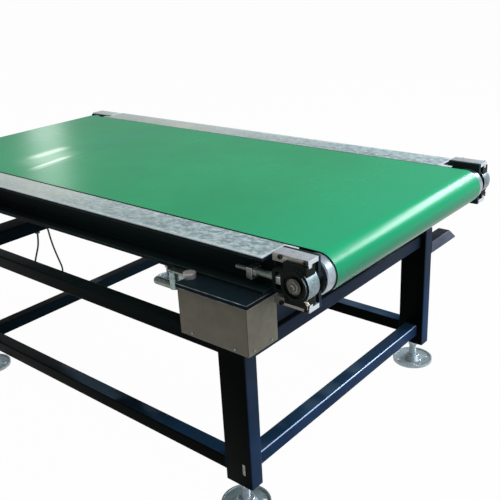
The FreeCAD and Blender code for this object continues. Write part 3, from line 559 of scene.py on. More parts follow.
@dataclass(frozen=True)
class BeltCover(Finish):
    """Satin green cover of the belt, slightly uneven, with a fabric edge, painted light and shade, and
    painted highlight streaks near the head.
    """

    colour: Colour = (0.0080, 0.300, 0.114)
    deep: Colour = (0.0040, 0.262, 0.097)
    # The next two colours: painted light towards the tail end and painted shade on the underside.
    painted_tail_light: Colour = (0.0075, 0.345, 0.152)
    shaded: Colour = (0.0010, 0.135, 0.070)
    grained: Colour = (0.05, 0.36, 0.17)
    scuffed: Colour = (0.20, 0.44, 0.32)
    fabric: Colour = (0.010, 0.030, 0.022)
    # The next two colours: the painted highlight of the streaks near the head and the painted shade in the
    # crease.
    crest: Colour = (0.72, 0.95, 0.74)
    sunk: Colour = (0.010, 0.200, 0.085)
    bluish: Colour = (0.018, 0.250, 0.160)
    tail_x: Span = (-0.30, 0.06)
    edge_y: Span = (0.3334, 0.3338)
    # Painted highlight streaks near the head; the last one is a broad painted haze.
    highlight_streaks: tuple[Ridge, ...] = (
        Ridge((-1.1035, -0.185), (-1.118, -0.055), 0.034, 0.03),
        Ridge((-0.987, -0.262), (-1.012, -0.125), 0.024, 0.03, 1.1),
        Ridge((-1.300, 0.066), (-1.405, 0.079), 0.014, 0.02, 0.4),
        Ridge((-1.045, -0.230), (-1.070, -0.090), 0.110, 0.05, 0.35),
    )
    # The crease near the head, which gets painted shade.
    crease: Ridge = Ridge((-0.984, -0.300), (-1.002, 0.020), 0.007)
    band: Ridge = Ridge((-1.045, -0.020), (-1.055, 0.260), 0.045)

    def paint(self, graph: Graph) -> None:
        """Add the cover's mottle and scuffs, painted light towards the tail, painted shade underneath, and
        the painted highlight streaks and the crease's painted shade near the head.

        Args:
            graph: the graph to fill.
        """
        mottle = graph.noise(260, 4, 0.55)
        grain = graph.noise(1.6, 3, 0.6)
        waves = graph.noise(240, 2, 0.4, (1, 0.5, 1))
        scuff = graph.noise(60, 6, 0.72, (1, 0.2, 1)).step(0.63, 0.78)
        # Painted light towards the tail end and painted shade on the underside.
        tail = (graph.along(Axis.X) - Conveyor.tail_end.x).step(*self.tail_x)
        under = graph.facing(Axis.Z).step(0.70, -0.45)
        lively = graph.mix(mottle.step(0.3, 0.72), self.deep, self.colour)
        shade = graph.mix(under * 0.85, graph.mix(tail * 0.8, lively, self.painted_tail_light), self.shaded)
        grained = graph.mix(grain.step(0.3, 0.8) * 0.14 * (1 - under), shade, self.grained)
        scuffed = graph.mix(scuff * 0.12, grained, self.scuffed)
        # Painted highlights on the streaks and painted shade in the crease.
        highlight_streaks = sum(ridge.on(graph) for ridge in self.highlight_streaks)
        crease = self.crease.on(graph)
        tinted = graph.mix(self.band.on(graph) * 0.45, scuffed, self.bluish)
        highlighted = graph.mix((highlight_streaks * 0.8).lowest(1.0), tinted, self.crest)
        crease_shaded = graph.mix(crease * 0.7, highlighted, self.sunk)
        edge = abs(graph.along(Axis.Y) - Conveyor.centre_y).step(*self.edge_y)
        graph.set("Base Color", graph.mix(edge, crease_shaded, self.fabric))
        graph.set("Roughness", 0.22 + mottle * 0.09 + scuff * 0.1)
        graph.set("Specular IOR Level", 0.15)
        graph.bump(waves * 0.85 + grain * 0.02 + highlight_streaks * 0.25 - crease * 0.3, 1.4, 0.3)


@dataclass(frozen=True)
class DullSheet(Finish):
    """Plain dull sheet of the control box, hand-marked and slightly warm, with painted shade on its front."""

    colour: Colour = (0.107, 0.096, 0.066)
    pale: Colour = (0.163, 0.151, 0.113)
    # Painted shade, darker and warmer, on the faces towards the front.
    shaded_front: Colour = (0.090, 0.078, 0.038)
    edge: Colour = (0.4, 0.39, 0.34)

    def paint(self, graph: Graph) -> None:
        """Add smudges, drips, rubbed edges and painted shade on the front.

        Args:
            graph: the graph to fill.
        """
        smudge = graph.noise(38, 5, 0.62)
        drips = graph.noise(12, 4, 0.6, (1.4, 1.4, 0.2))
        worn = graph.attribute("worn")
        # Painted shade on the faces towards the front.
        shaded_front = (0 - graph.facing(Axis.Y)).step(0.5, 0.95)
        sheet = graph.mix(smudge.step(0.34, 0.72) * 0.7 + drips * 0.2, self.colour, self.pale)
        base = graph.mix(shaded_front * 0.3, sheet, self.shaded_front)
        graph.set("Base Color", graph.mix(worn * 0.35, base, self.edge))
        graph.set("Metallic", 0.2 + worn * 0.3)
        graph.set("Roughness", 0.46 + drips * 0.2)
        graph.bump(graph.noise(1.5, 3), 0.04, 0.35)


@dataclass(frozen=True)
class Moulded(Finish):
    """Moulded plastic, sheath or coated steel with a fine even grain."""

    colour: Colour = (0.012, 0.012, 0.013)
    pale: Colour = (0.06, 0.06, 0.06)
    roughness: float = 0.42
    metallic: float = 0.0
    grain_mm: float = 0.8

    def paint(self, graph: Graph) -> None:
        """Add grain, handling shine and dust.

        Args:
            graph: the graph to fill.
        """
        grain = graph.noise(self.grain_mm, 3, 0.6)
        smear = graph.noise(18, 4, 0.6)
        worn = graph.attribute("worn") * smear.step(0.35, 0.6)
        rubbed = (smear.step(0.52, 0.8) * 0.4 + worn * 0.6).lowest(1.0)
        graph.set("Base Color", graph.mix(rubbed, self.colour, self.pale))
        graph.set("Metallic", self.metallic)
        graph.set("Roughness", self.roughness + smear * 0.2)
        graph.bump(grain, 0.05, 0.4)


class Paint:
    """The finishes of the conveyor."""

    EVEN = (1, 1, 1)
    NAVY = Enamel("navy_enamel")
    CAP = Enamel("cap_enamel", (0.0070, 0.0150, 0.0200), (0.0075, 0.0160, 0.0210),
                 painted_high_sheen=(0.0060, 0.0075, 0.0090), dust_share=0.05, wear_share=1.0, sheen=0.04)
    WELD = Enamel("weld_enamel", (0.0030, 0.0048, 0.0060), (0.0060, 0.0100, 0.0120), roughness=0.5)
    # RIDGE is a painted bluish highlight on the lower tail cross beam's upper edge towards the tail.
    RIDGE = Plated("rubbed_edge", (0.38, 0.48, 0.70), (0.32, 0.41, 0.60), (0.46, 0.56, 0.78), 0.3, EVEN, 0.3)
    STUB = Enamel("stub_enamel", (0.0200, 0.0230, 0.0330), (0.0240, 0.0280, 0.0400),
                  painted_high_sheen=(0.110, 0.118, 0.150), dust_share=0.3, wear_share=0.4)
    STRIP = Galvanised("galvanised_strip")
    ZINC = Plated("zinc_plate")
    RIVET = Plated("bright_rivet", (0.62, 0.62, 0.60), (0.36, 0.35, 0.33), (0.9, 0.9, 0.9), 0.3, EVEN)
    CLAMP = Plated("clamp_plate", (0.100, 0.130, 0.105), (0.045, 0.058, 0.022), (0.85, 0.88, 0.84), 0.2, EVEN)
    DISC = Plated("clamp_disc", (0.40, 0.38, 0.35), (0.24, 0.22, 0.20), (0.85, 0.87, 0.85), 0.30, EVEN, 0.4)
    BARS = Plated("guide_bar_steel", (0.215, 0.200, 0.165), (0.105, 0.095, 0.072), (0.85, 0.87, 0.87), 0.34)
    # Painted light: the bars' tops and tail ends are lighter than their fronts.
    BAR_TOP = Plated("guide_bar_top", (0.42, 0.45, 0.47), (0.20, 0.215, 0.22), (0.90, 0.93, 0.95), 0.30,
                     metal=0.5)
    BAR_END = Plated("guide_bar_end", (0.58, 0.61, 0.64), (0.34, 0.36, 0.38), (0.95, 0.97, 1.0), 0.28,
                     metal=0.4)
    SHAFT = Plated("worn_shaft", (0.062, 0.053, 0.046), (0.030, 0.026, 0.022), (0.26, 0.25, 0.23), 0.30, EVEN)
    NUT = Plated("window_nut", (0.27, 0.31, 0.29), (0.13, 0.15, 0.14), (0.80, 0.86, 0.83), 0.32, EVEN, 0.6)
    NUB = Plated("shaft_nub", (0.52, 0.52, 0.50), (0.34, 0.33, 0.31), (0.95, 0.95, 0.93), 0.24, EVEN, 0.5)
    HUB = Plated("clamp_hub", (0.19, 0.29, 0.28), (0.05, 0.08, 0.075), (0.90, 0.95, 0.93), 0.16, EVEN, 0.8)
    # FLANK is a painted sheen on the cast housing's rounded side towards the tail.
    FLANK = Plated("bright_flank", (0.16, 0.22, 0.235), (0.05, 0.08, 0.085), (0.70, 0.76, 0.8), 0.34, EVEN)
    LUG = Plated("lug_steel", (0.20, 0.20, 0.18), (0.10, 0.10, 0.085), (0.6, 0.62, 0.6), 0.38, EVEN)
    SCREW = Plated("dull_screw", (0.20, 0.235, 0.21), (0.10, 0.12, 0.10), (0.5, 0.54, 0.52), 0.42)
    FEET = Plated("foot_plate", (0.31, 0.38, 0.41), (0.12, 0.15, 0.16), (0.95, 0.97, 1.0), 0.24, EVEN, 0.5)
    CAST = CastIron("cast_iron_skin")
    DRUM = TurnedSteel("turned_steel")
    BELT = BeltCover("belt_cover")
    BED = Galvanised("bed_sheet", (0.16, 0.17, 0.17), (0.28, 0.29, 0.29))
    SHEET = DullSheet("dull_sheet")
    ALLOY = Plated("blasted_alloy", (0.42, 0.43, 0.44), (0.26, 0.27, 0.27), (0.6, 0.6, 0.6), 0.5, EVEN)
    MOTOR = Moulded("motor_enamel", (0.035, 0.042, 0.052), (0.10, 0.11, 0.12), 0.4, 0.0, 2.5)
    PLASTIC = Moulded("black_moulding")
    SHEATH = Moulded("cable_sheath", (0.012, 0.012, 0.012), (0.05, 0.05, 0.05), 0.5)
    OXIDE = Moulded("black_oxide", (0.012, 0.012, 0.012), (0.10, 0.10, 0.095), 0.28, 0.6)
    SHADOW = Moulded("open_joint", (0.010, 0.010, 0.009), (0.03, 0.03, 0.028), 0.8)
    BRASS = Plated("grease_brass", (0.80, 0.76, 0.60), (0.45, 0.36, 0.20), (0.95, 0.93, 0.85), 0.25, EVEN)


SLOT_FINISH = {
    Slot.BELT: Paint.BELT, Slot.STRIP: Paint.STRIP, Slot.NAVY: Paint.NAVY, Slot.ZINC: Paint.ZINC,
    Slot.CAST: Paint.CAST, Slot.DRUM: Paint.DRUM, Slot.BED: Paint.BED, Slot.SHEET: Paint.SHEET,
    Slot.ALLOY: Paint.ALLOY, Slot.MOTOR: Paint.MOTOR, Slot.PLASTIC: Paint.PLASTIC, Slot.SHEATH: Paint.SHEATH,
}


class Conveyor:
    """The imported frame, its own millimetre axes, and the body and slot of each node."""

    # The drums' axes, in the bed's millimetres from the rails' tail end.
    TAIL_X = 74.0
    HEAD_X = -1458.0
    AXIS_Z = 617.0

    centre_y = 0.0
    frame: dict = {}
    slots: dict[str, Slot] = {}
    tail_end = Vector((0, 0, 0))

    @classmethod
    def load(cls) -> None:
        """Load the frame and find the bed's axes in it."""
        cls.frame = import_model()
        cls.slots = {s["node"]: Slot(s["material_slot"]) for s in cls.frame["record"]["subparts"]}
        low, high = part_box("belt")
        cls.centre_y = (low.y + high.y) / 2
        cls.tail_end = Vector((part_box("side_rail_far")[1].x, cls.centre_y, 0))

    @classmethod
    def at(cls, x: float, y: float, z: float) -> Vector:
        """Turn a place in the bed's millimetres, from the rails' tail end, into the row frame's metres."""
        return cls.tail_end + Vector((x, y, z)) * MM

    @classmethod
    def mm(cls, place: Vector) -> Vector:
        """Turn a place in the row frame's metres into the bed's millimetres."""
        return (place - cls.tail_end) / MM

    @classmethod
    def body(cls, node: str) -> str:
        """Give the body that a CAD node rides on."""
        return cls.frame["nodes"][node]["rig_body"]


class Bench:
    """Modelling by Blender's own tools, as by hand."""

    @staticmethod
    def clear() -> None:
        """Deselect everything."""
        bpy.ops.object.select_all(action="DESELECT")

    @staticmethod
    def pick(*items: bpy.types.Object) -> None:
        """Select some objects alone and make the first one active.

        Args:
            items: the objects.
        """
        Bench.clear()
        for item in items:
            item.select_set(True)
        bpy.context.view_layer.objects.active = items[0]

    @staticmethod
    @contextmanager
    def editing(item: bpy.types.Object, element: Element = Element.FACE,
                everything: bool = False) -> Iterator[None]:
        """Work in edit mode on one object.

        Args:
            item: the object to edit.
            element: what is selected.
            everything: select all of the mesh first.

        Yields:
            Nothing; edit mode ends with the block.
        """
        Bench.pick(item)
        bpy.context.tool_settings.mesh_select_mode = tuple(element is kind for kind in Element)
        bpy.ops.object.mode_set(mode="EDIT")
        if everything:
            bpy.ops.mesh.select_all(action="SELECT")
        yield
        bpy.ops.object.mode_set(mode="OBJECT")

    @staticmethod
    def unmark(mesh: bpy.types.Mesh) -> None:
        """Deselect all of a mesh."""
        for group in (mesh.vertices, mesh.edges, mesh.polygons):
            group.foreach_set("select", [False] * len(group))

    @staticmethod
    def mark(item: bpy.types.Object, faces: Callable[[bpy.types.MeshPolygon], bool]) -> None:
        """Select the faces that a test picks and no others.

        Args:
            item: the object whose faces are marked.
            faces: the test, given a face.
        """
        Bench.unmark(item.data)
        for face in item.data.polygons:
            if faces(face):
                face.select = True

    @staticmethod
    def mark_edges(item: bpy.types.Object, edges: PlaceTest) -> None:
        """Select the edges that a test picks and no others.

        Args:
            item: the object whose edges are marked.
            edges: the test, given an edge's two ends.
        """
        mesh = item.data
        Bench.unmark(mesh)
        for edge in mesh.edges:
            if edges(*(mesh.vertices[i].co for i in edge.vertices)):
                edge.select = True

    @staticmethod
    def mark_flat(item: bpy.types.Object, axis: Axis, place: float) -> None:
        """Select the flat faces across an axis at a place on it."""
        way, reach = axis.value, 0.2 * MM
        Bench.mark(item, lambda f: abs(f.normal.dot(way)) > 0.99 and abs(f.center.dot(way) - place) < reach)

    @staticmethod
    def settle(name: str) -> bpy.types.Object:
        """Name the active object and move its place, turn and scale into its mesh.

        Args:
            name: the object's name.

        Returns:
            The object.
        """
        bpy.context.object.name = name
        bpy.ops.object.transform_apply(location=True, rotation=True, scale=True)
        return bpy.context.object

    @staticmethod
    def block(name: str, low: Vector, high: Vector) -> bpy.types.Object:
        """Add a box between two corners.

        Args:
            name: the object's name.
            low: its lowest corner.
            high: its highest corner.

        Returns:
            The box.
        """
        Bench.clear()
        bpy.ops.mesh.primitive_cube_add(size=1, location=(low + high) / 2)
        bpy.context.object.scale = high - low
        return Bench.settle(name)

    @staticmethod
    def bar(name: str, start: Vector, end: Vector, radius_mm: float, sides: int = 32) -> bpy.types.Object:
        """Add a round or many-sided bar between two points.

        Args:
            name: the object's name.
            start: the middle of one end.
            end: the middle of the other end.
            radius_mm: its radius.
            sides: the number of its sides.

        Returns:
            The bar.
        """
        Bench.clear()
        path = end - start
        bpy.ops.mesh.primitive_cylinder_add(vertices=sides, radius=radius_mm * MM, depth=path.length,
                                            location=(start + end) / 2,
                                            rotation=path.to_track_quat("Z", "Y").to_euler())
        return Bench.settle(name)

    @staticmethod
    def sink(rim_mm: float, move: Sequence[float]) -> None:
        """Inset the selected faces by a rim, in edit mode, and push their middle along a vector."""
        bpy.ops.mesh.inset(thickness=rim_mm * MM)
        bpy.ops.mesh.extrude_region_move(TRANSFORM_OT_translate={"value": move})

    @staticmethod
    def recess(item: bpy.types.Object, out: Vector, rim_mm: float, depth_mm: float) -> None:
        """Sink the middle of a bar's outer end.

        Args:
            item: the bar.
            out: the way that its outer end faces.
            rim_mm: the width left standing.
            depth_mm: how deep the middle goes.
        """
        end = max(vertex.co.dot(out) for vertex in item.data.vertices)
        Bench.mark(item, lambda f: f.normal.dot(out) > 0.99 and abs(f.center.dot(out) - end) < 1e-5)
        with Bench.editing(item):
            Bench.sink(rim_mm, -out * depth_mm * MM)

    @staticmethod
    def chamfer(item: bpy.types.Object, width_mm: float, segments: int = 2, sharpness: float = 40.0) -> None:
        """Bevel the sharp edges and note the new faces in the worn attribute.

        Args:
            item: the object.
            width_mm: the bevel's width.
            segments: its number of faces.
            sharpness: the least angle that counts as sharp, in degrees.
        """
        mesh = item.data
        mesh.materials.clear()
        for _ in range(2):
            mesh.materials.append(None)
        with Bench.editing(item, Element.EDGE):
            bpy.ops.mesh.select_all(action="DESELECT")
            bpy.ops.mesh.edges_select_sharp(sharpness=math.radians(sharpness))
            bpy.ops.mesh.bevel(offset=width_mm * MM, segments=segments, profile=0.6, clamp_overlap=True,
                               miter_outer="ARC", material=1)
        values = []
        for face in mesh.polygons:
            values += [float(face.material_index)] * face.loop_total
            face.material_index = 0
        worn = mesh.attributes.get("worn") or mesh.attributes.new("worn", "FLOAT", "CORNER")
        worn.data.foreach_set("value", values)
        mesh.materials.clear()

    @staticmethod
    def inlay(item: bpy.types.Object, finish: Finish, test: PlaceTest) -> None:
        """Give a second finish to the faces that a test picks.

        Args:
            item: the dressed piece.
            finish: the second finish.
            test: the test, given a face's middle in the bed's millimetres and its normal.
        """
        item.data.materials.append(finish.material())
        index = len(item.data.materials) - 1
        for face in item.data.polygons:
            if test(Conveyor.mm(face.center), face.normal):
                face.material_index = index

    @staticmethod
    def array(item: bpy.types.Object, count: int, step: Vector) -> None:
        """Repeat a mesh in a row, as an applied modifier.

        Args:
            item: the object.
            count: how often it stands there.
            step: the way from one to the next.
        """
        row = item.modifiers.new("row", "ARRAY")
        row.count = count
        row.use_relative_offset = False
        row.use_constant_offset = True
        row.constant_offset_displace = step
        Bench.pick(item)
        bpy.ops.object.modifier_apply(modifier=row.name)

    @staticmethod
    def screw_heads(seats: Sequence[tuple[Point, Vector]], screw: Screw) -> list[bpy.types.Object]:
        """Model a screw's head on each seat.

        Args:
            seats: where each axis meets the surface, in the bed's millimetres, and the way out there.
            screw: the heads' sizes and kind.

        Returns:
            The heads.
        """
        heads = []
        for place, out in seats:
            seat = Conveyor.at(*place)
            head = Bench.bar("screw_head", seat - out * 0.4 * MM, seat + out * screw.height * MM,
                             screw.radius, screw.kind.value)
            if screw.kind is Head.SOCKET:
                Bench.recess(head, out, screw.radius * 0.48, screw.height * 0.5)
            Bench.chamfer(head, min(0.5, screw.height * 0.2))
            Bench.smooth(head)
            heads.append(head)
        return heads

    @staticmethod
    def thread(name: str, start: Vector, end: Vector, radius_mm: float, pitch_mm: float) -> bpy.types.Object:
        """Model a helical thread round an axis with a swept ridge.

        Args:
            name: the object's name.
            start: one end of the thread's axis, in metres.
            end: its other end.
            radius_mm: the radius over the crests.
            pitch_mm: the rise for each turn.

        Returns:
            The thread.
        """
        Bench.clear()
        pitch = pitch_mm * MM
        root, crest = (radius_mm - 0.6 * pitch_mm) * MM, radius_mm * MM
        bpy.ops.mesh.primitive_plane_add(size=1)
        made = bpy.context.object
        profile = ((root, 0), (crest, 0.42), (root, 1), (crest, 0.58))
        for vertex, (reach, rise) in zip(made.data.vertices, profile):
            vertex.co = (reach, 0, pitch * rise)
        Bench.mark_edges(made, lambda a, b: min(a.x, b.x) < root + 1e-6 and abs(a.z - b.z) > pitch * 0.9)
        with Bench.editing(made, Element.EDGE):
            bpy.ops.mesh.delete(type="EDGE_FACE")
        sweep = made.modifiers.new("helix", "SCREW")
        sweep.screw_offset = pitch
        sweep.iterations = max(1, int((end - start).length / pitch) - 1)
        sweep.steps = sweep.render_steps = 14
        sweep.use_merge_vertices = True
        sweep.merge_threshold = 1e-6
        Bench.pick(made)
        bpy.ops.object.modifier_apply(modifier=sweep.name)
        with Bench.editing(made, everything=True):
            bpy.ops.mesh.normals_make_consistent(inside=False)
        made.rotation_euler = (end - start).to_track_quat("Z", "Y").to_euler()
        made.location = start
        Bench.settle(name)
        Bench.smooth(made, 50)
        return made

    @staticmethod
    def smooth(item: bpy.types.Object, angle: float = 38.0) -> None:
        """Shade smooth where faces meet at less than an angle."""
        Bench.pick(item)
        bpy.ops.object.shade_smooth_by_angle(angle=math.radians(angle))

    @staticmethod
    def join(items: Sequence[bpy.types.Object], name: str) -> bpy.types.Object:
        """Join objects into one.

        Args:
            items: the objects.
            name: the joined object's name.

        Returns:
            The joined object.
        """
        Bench.pick(*items)
        bpy.ops.object.join()
        items[0].name = name
        return items[0]

    @staticmethod
    def finish(item: bpy.types.Object, finish: Finish, body: str = "frame", slot: Optional[Slot] = None,
               replaces: Sequence[str] = ()) -> bpy.types.Object:
        """Dress a piece and say what it rides on and stands for.

        Args:
            item: the piece.
            finish: its finish.
            body: the CAD body that it rides on.
            slot: the record's slot for its finish; not used.
            replaces: the CAD nodes that it stands for.

        Returns:
            The piece.
        """
        item.data.materials.clear()
        item.data.materials.append(finish.material())
        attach(item, body)
        if replaces:
            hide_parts(*replaces)
        LOG.info("piece %s on %s, %d faces", item.name, body, len(getattr(item.data, "polygons", ())))
        return item

    @staticmethod
    def skin(node: str, width_mm: float, finish: Optional[Finish] = None,
             sharpness: float = 32.0) -> bpy.types.Object:
        """Stand a copy of a CAD node in its place, with merged faces and bevelled edges.

        Args:
            node: the CAD node.
            width_mm: the bevels' width.
            finish: its finish, or its slot's own.
            sharpness: the least angle that is bevelled, in degrees.

        Returns:
            The dressed copy.
        """
        source = Conveyor.frame["nodes"][node]
        made = bpy.data.objects.new(f"{node}_shell", source.data.copy())
        bpy.context.scene.collection.objects.link(made)
        with Bench.editing(made, Element.VERT, everything=True):
            bpy.ops.mesh.remove_doubles(threshold=2e-6)
            bpy.ops.mesh.customdata_custom_splitnormals_clear()
            bpy.ops.mesh.mark_sharp(clear=True)
            bpy.ops.mesh.dissolve_limited(angle_limit=math.radians(0.4))
        Bench.chamfer(made, width_mm, 2, sharpness)
        Bench.smooth(made)
        slot = Conveyor.slots[node]
        return Bench.finish(made, finish or SLOT_FINISH[slot], Conveyor.body(node), slot, [node])


@dataclass
class BeltLoop:
    """The endless belt: a loop with real thickness, smooth round both drums."""

    thickness: float = 2.5
    segments: int = 28
    roundness: float = 0.9999

    def build(self) -> None:
        """Model the belt from a block with fully rounded ends."""
        low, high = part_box("belt")
        belt = Bench.block("belt_loop", low, high)
        Bench.mark_edges(belt, lambda a, b: abs(a.y - b.y) > 0.5)
        with Bench.editing(belt, Element.EDGE):
            bpy.ops.mesh.bevel(offset=(high.z - low.z) / 2 * self.roundness, segments=self.segments,
                               profile=0.5, clamp_overlap=False)
        Bench.mark(belt, lambda f: abs(f.normal.y) > 0.9)
        with Bench.editing(belt):
            bpy.ops.mesh.delete(type="FACE")
            bpy.ops.mesh.select_all(action="SELECT")
            bpy.ops.mesh.remove_doubles(threshold=2e-5)
            bpy.ops.mesh.normals_make_consistent(inside=False)
        wall = belt.modifiers.new("wall", "SOLIDIFY")
        wall.thickness = self.thickness * MM
        wall.offset = -1
        Bench.pick(belt)
        bpy.ops.object.modifier_apply(modifier=wall.name)
        Bench.smooth(belt, 30)
        Bench.finish(belt, Paint.BELT, "frame", Slot.BELT, ["belt"])


@dataclass
class Stand:
    """The tube stand, its posts, its stub and the weld beads at its joints."""

    tube_bevel: float = 0.5
    ridge_bevel: float = 1.2
    # The beam that gets a wider bevel and a painted highlight on its upper edge towards the tail.
    rubbed: str = "lower_cross_beam_tail"
    leg_faces: Span = (-134.5, -1153.0)
    leg_inner: float = 389.0
    leg_outer: float = 429.0
    levels: tuple[Span, Span] = ((408.0, 445.0), (96.0, 133.0))
    cross_joints: tuple[tuple[float, float, float, float], ...] = (
        (-94.5, 20.0, 388.0, 425.0), (-94.5, 20.0, 96.0, 133.0),
        (-1193.0, 40.0, 403.0, 445.0), (-1193.0, 20.0, 96.0, 133.0),
    )
    bead: float = 2.2
    bead_step: float = 1.15
    bead_gap: float = 4.0
    bead_sunk: float = 0.6
    # The corners of a small pale plate on the near tail leg, a painted highlight.
    plug: tuple[Point, Point] = ((-81.0, -429.3, 103.0), (-74.0, -428.6, 132.0))

    def weld(self, start: Point, end: Point) -> bpy.types.Object:
        """Lay one rippled weld bead as a row of overlapping drops.

        Args:
            start: where it begins, in the bed's millimetres.
            end: where it ends.

        Returns:
            The bead.
        """
        Bench.clear()
        path = Vector(end) - Vector(start)
        step = path.normalized() * self.bead * self.bead_step
        bpy.ops.mesh.primitive_uv_sphere_add(segments=8, ring_count=6, radius=self.bead * MM,
                                             location=Conveyor.at(*start))
        drop = Bench.settle("weld_drop")
        Bench.array(drop, int(path.length / step.length) + 1, step * MM)
        return drop

    def side_welds(self) -> list[bpy.types.Object]:
        """Weld the long beams to the legs, under and beside each joint.

        Returns:
            The beads.
        """
        beads = []
        for x, (low, high), side in product(self.leg_faces, self.levels, Side):
            inner, outer = side.value * self.leg_inner, side.value * self.leg_outer
            gap, sunk = side.value * self.bead_gap, side.value * self.bead_sunk
            beads.append(self.weld((x, inner + gap, low), (x, outer - gap, low)))
            for y in (outer - sunk, inner + sunk):
                beads.append(self.weld((x, y, low + self.bead_gap), (x, y, high - self.bead_gap)))
        return beads

    def cross_welds(self) -> list[bpy.types.Object]:
        """Weld the cross beams to the legs' inner faces.

        Returns:
            The beads.
        """
        beads = []
        for (x, half, low, high), side in product(self.cross_joints, Side):
            y, gap = side.value * self.leg_inner, self.bead_gap
            for edge in (x - half, x + half):
                beads.append(self.weld((edge, y, low + gap), (edge, y, high - gap)))
            for z in (low, high):
                beads.append(self.weld((x - half + gap, y, z), (x + half - gap, y, z)))
        return beads

    def highlight_plate(self) -> None:
        """Add a small pale plate low on the near tail leg's front, as a painted highlight."""
        low, high = (Conveyor.at(*corner) for corner in self.plug)
        plug = Bench.block("leg_slot_plug", low, high)
        Bench.chamfer(plug, 0.2, 1)
        Bench.finish(plug, Paint.CLAMP)

    def build(self) -> None:
        """Weld the stand together and dress every tube of it."""
        self.highlight_plate()
        beads = Bench.join(self.side_welds() + self.cross_welds(), "stand_welds")
        Bench.smooth(beads, 60)
        Bench.finish(beads, Paint.WELD)
        for node in sorted(Conveyor.frame["nodes"]):
            if node.startswith(("leg_", "upper_", "lower_", "bed_posts", "stand_stub")):
                bevel = self.ridge_bevel if node == self.rubbed else self.tube_bevel
                tube = Bench.skin(node, bevel, Paint.STUB if node == "stand_stub" else None, 50)
                if node == self.rubbed:
                    # A painted bluish highlight on the upper edge towards the tail.
                    Bench.inlay(tube, Paint.RIDGE, lambda p, n: n.x > 0.35 and n.z > 0.35)


@dataclass
class SideFrames:
    """The rails, strips, end plates, bed and ties."""

    rail_bevel: float = 0.7
    strip_bevel: float = 0.7
    plate_bevel: float = 0.8
    tie_bevel: float = 0.6
    bed_bevel: float = 0.5
    strip_top: float = 662.0
    rivet_xs: tuple[float, ...] = (-60.0, -488.3, -916.0, -1340.0)
    rivet_y: float = 396.0
    rivet_radius: float = 2.4
    rivet_rise: float = 0.35
    lug_x: Span = (-53.5, -35.5)
    lug_y: float = 382.0
    lug_z: Span = (600.0, 627.0)

    def on_lug(self, place: Vector, normal: Vector) -> bool:
        """Tell whether a place is on the adjusting screw's lug."""
        (tail, head), (low, high) = self.lug_x, self.lug_z
        return tail < place.x < head and abs(place.y) > self.lug_y and low < place.z < high

    def rivets(self) -> None:
        """Set the flush rivets that hold the strips to the rails."""
        for side in Side:
            heads = []
            for x in self.rivet_xs:
                seat = Conveyor.at(x, side.value * self.rivet_y, self.strip_top)
                top = seat + Axis.Z.value * self.rivet_rise * MM
                head = Bench.bar("strip_rivet", seat - Axis.Z.value * MM, top, self.rivet_radius, 20)
                Bench.chamfer(head, 0.3)
                heads.append(head)
            joined = Bench.join(heads, side.of("strip_rivets"))
            Bench.smooth(joined)
            Bench.finish(joined, Paint.RIVET)

    def build(self) -> None:
        """Dress both sides and the bed between them."""
        for side in Side:
            rail = Bench.skin(side.of("side_rail"), self.rail_bevel)
            Bench.inlay(rail, Paint.LUG, self.on_lug)
            Bench.skin(side.of("cover_strip"), self.strip_bevel)
            Bench.skin(side.of("head_cover"), self.strip_bevel)
            Bench.skin(side.of("end_plate_tail"), self.plate_bevel)
            Bench.skin(side.of("end_plate_head"), self.plate_bevel)
        Bench.skin("bed_ties", self.tie_bevel)
        Bench.skin("slider_bed", self.bed_bevel)
        self.rivets()


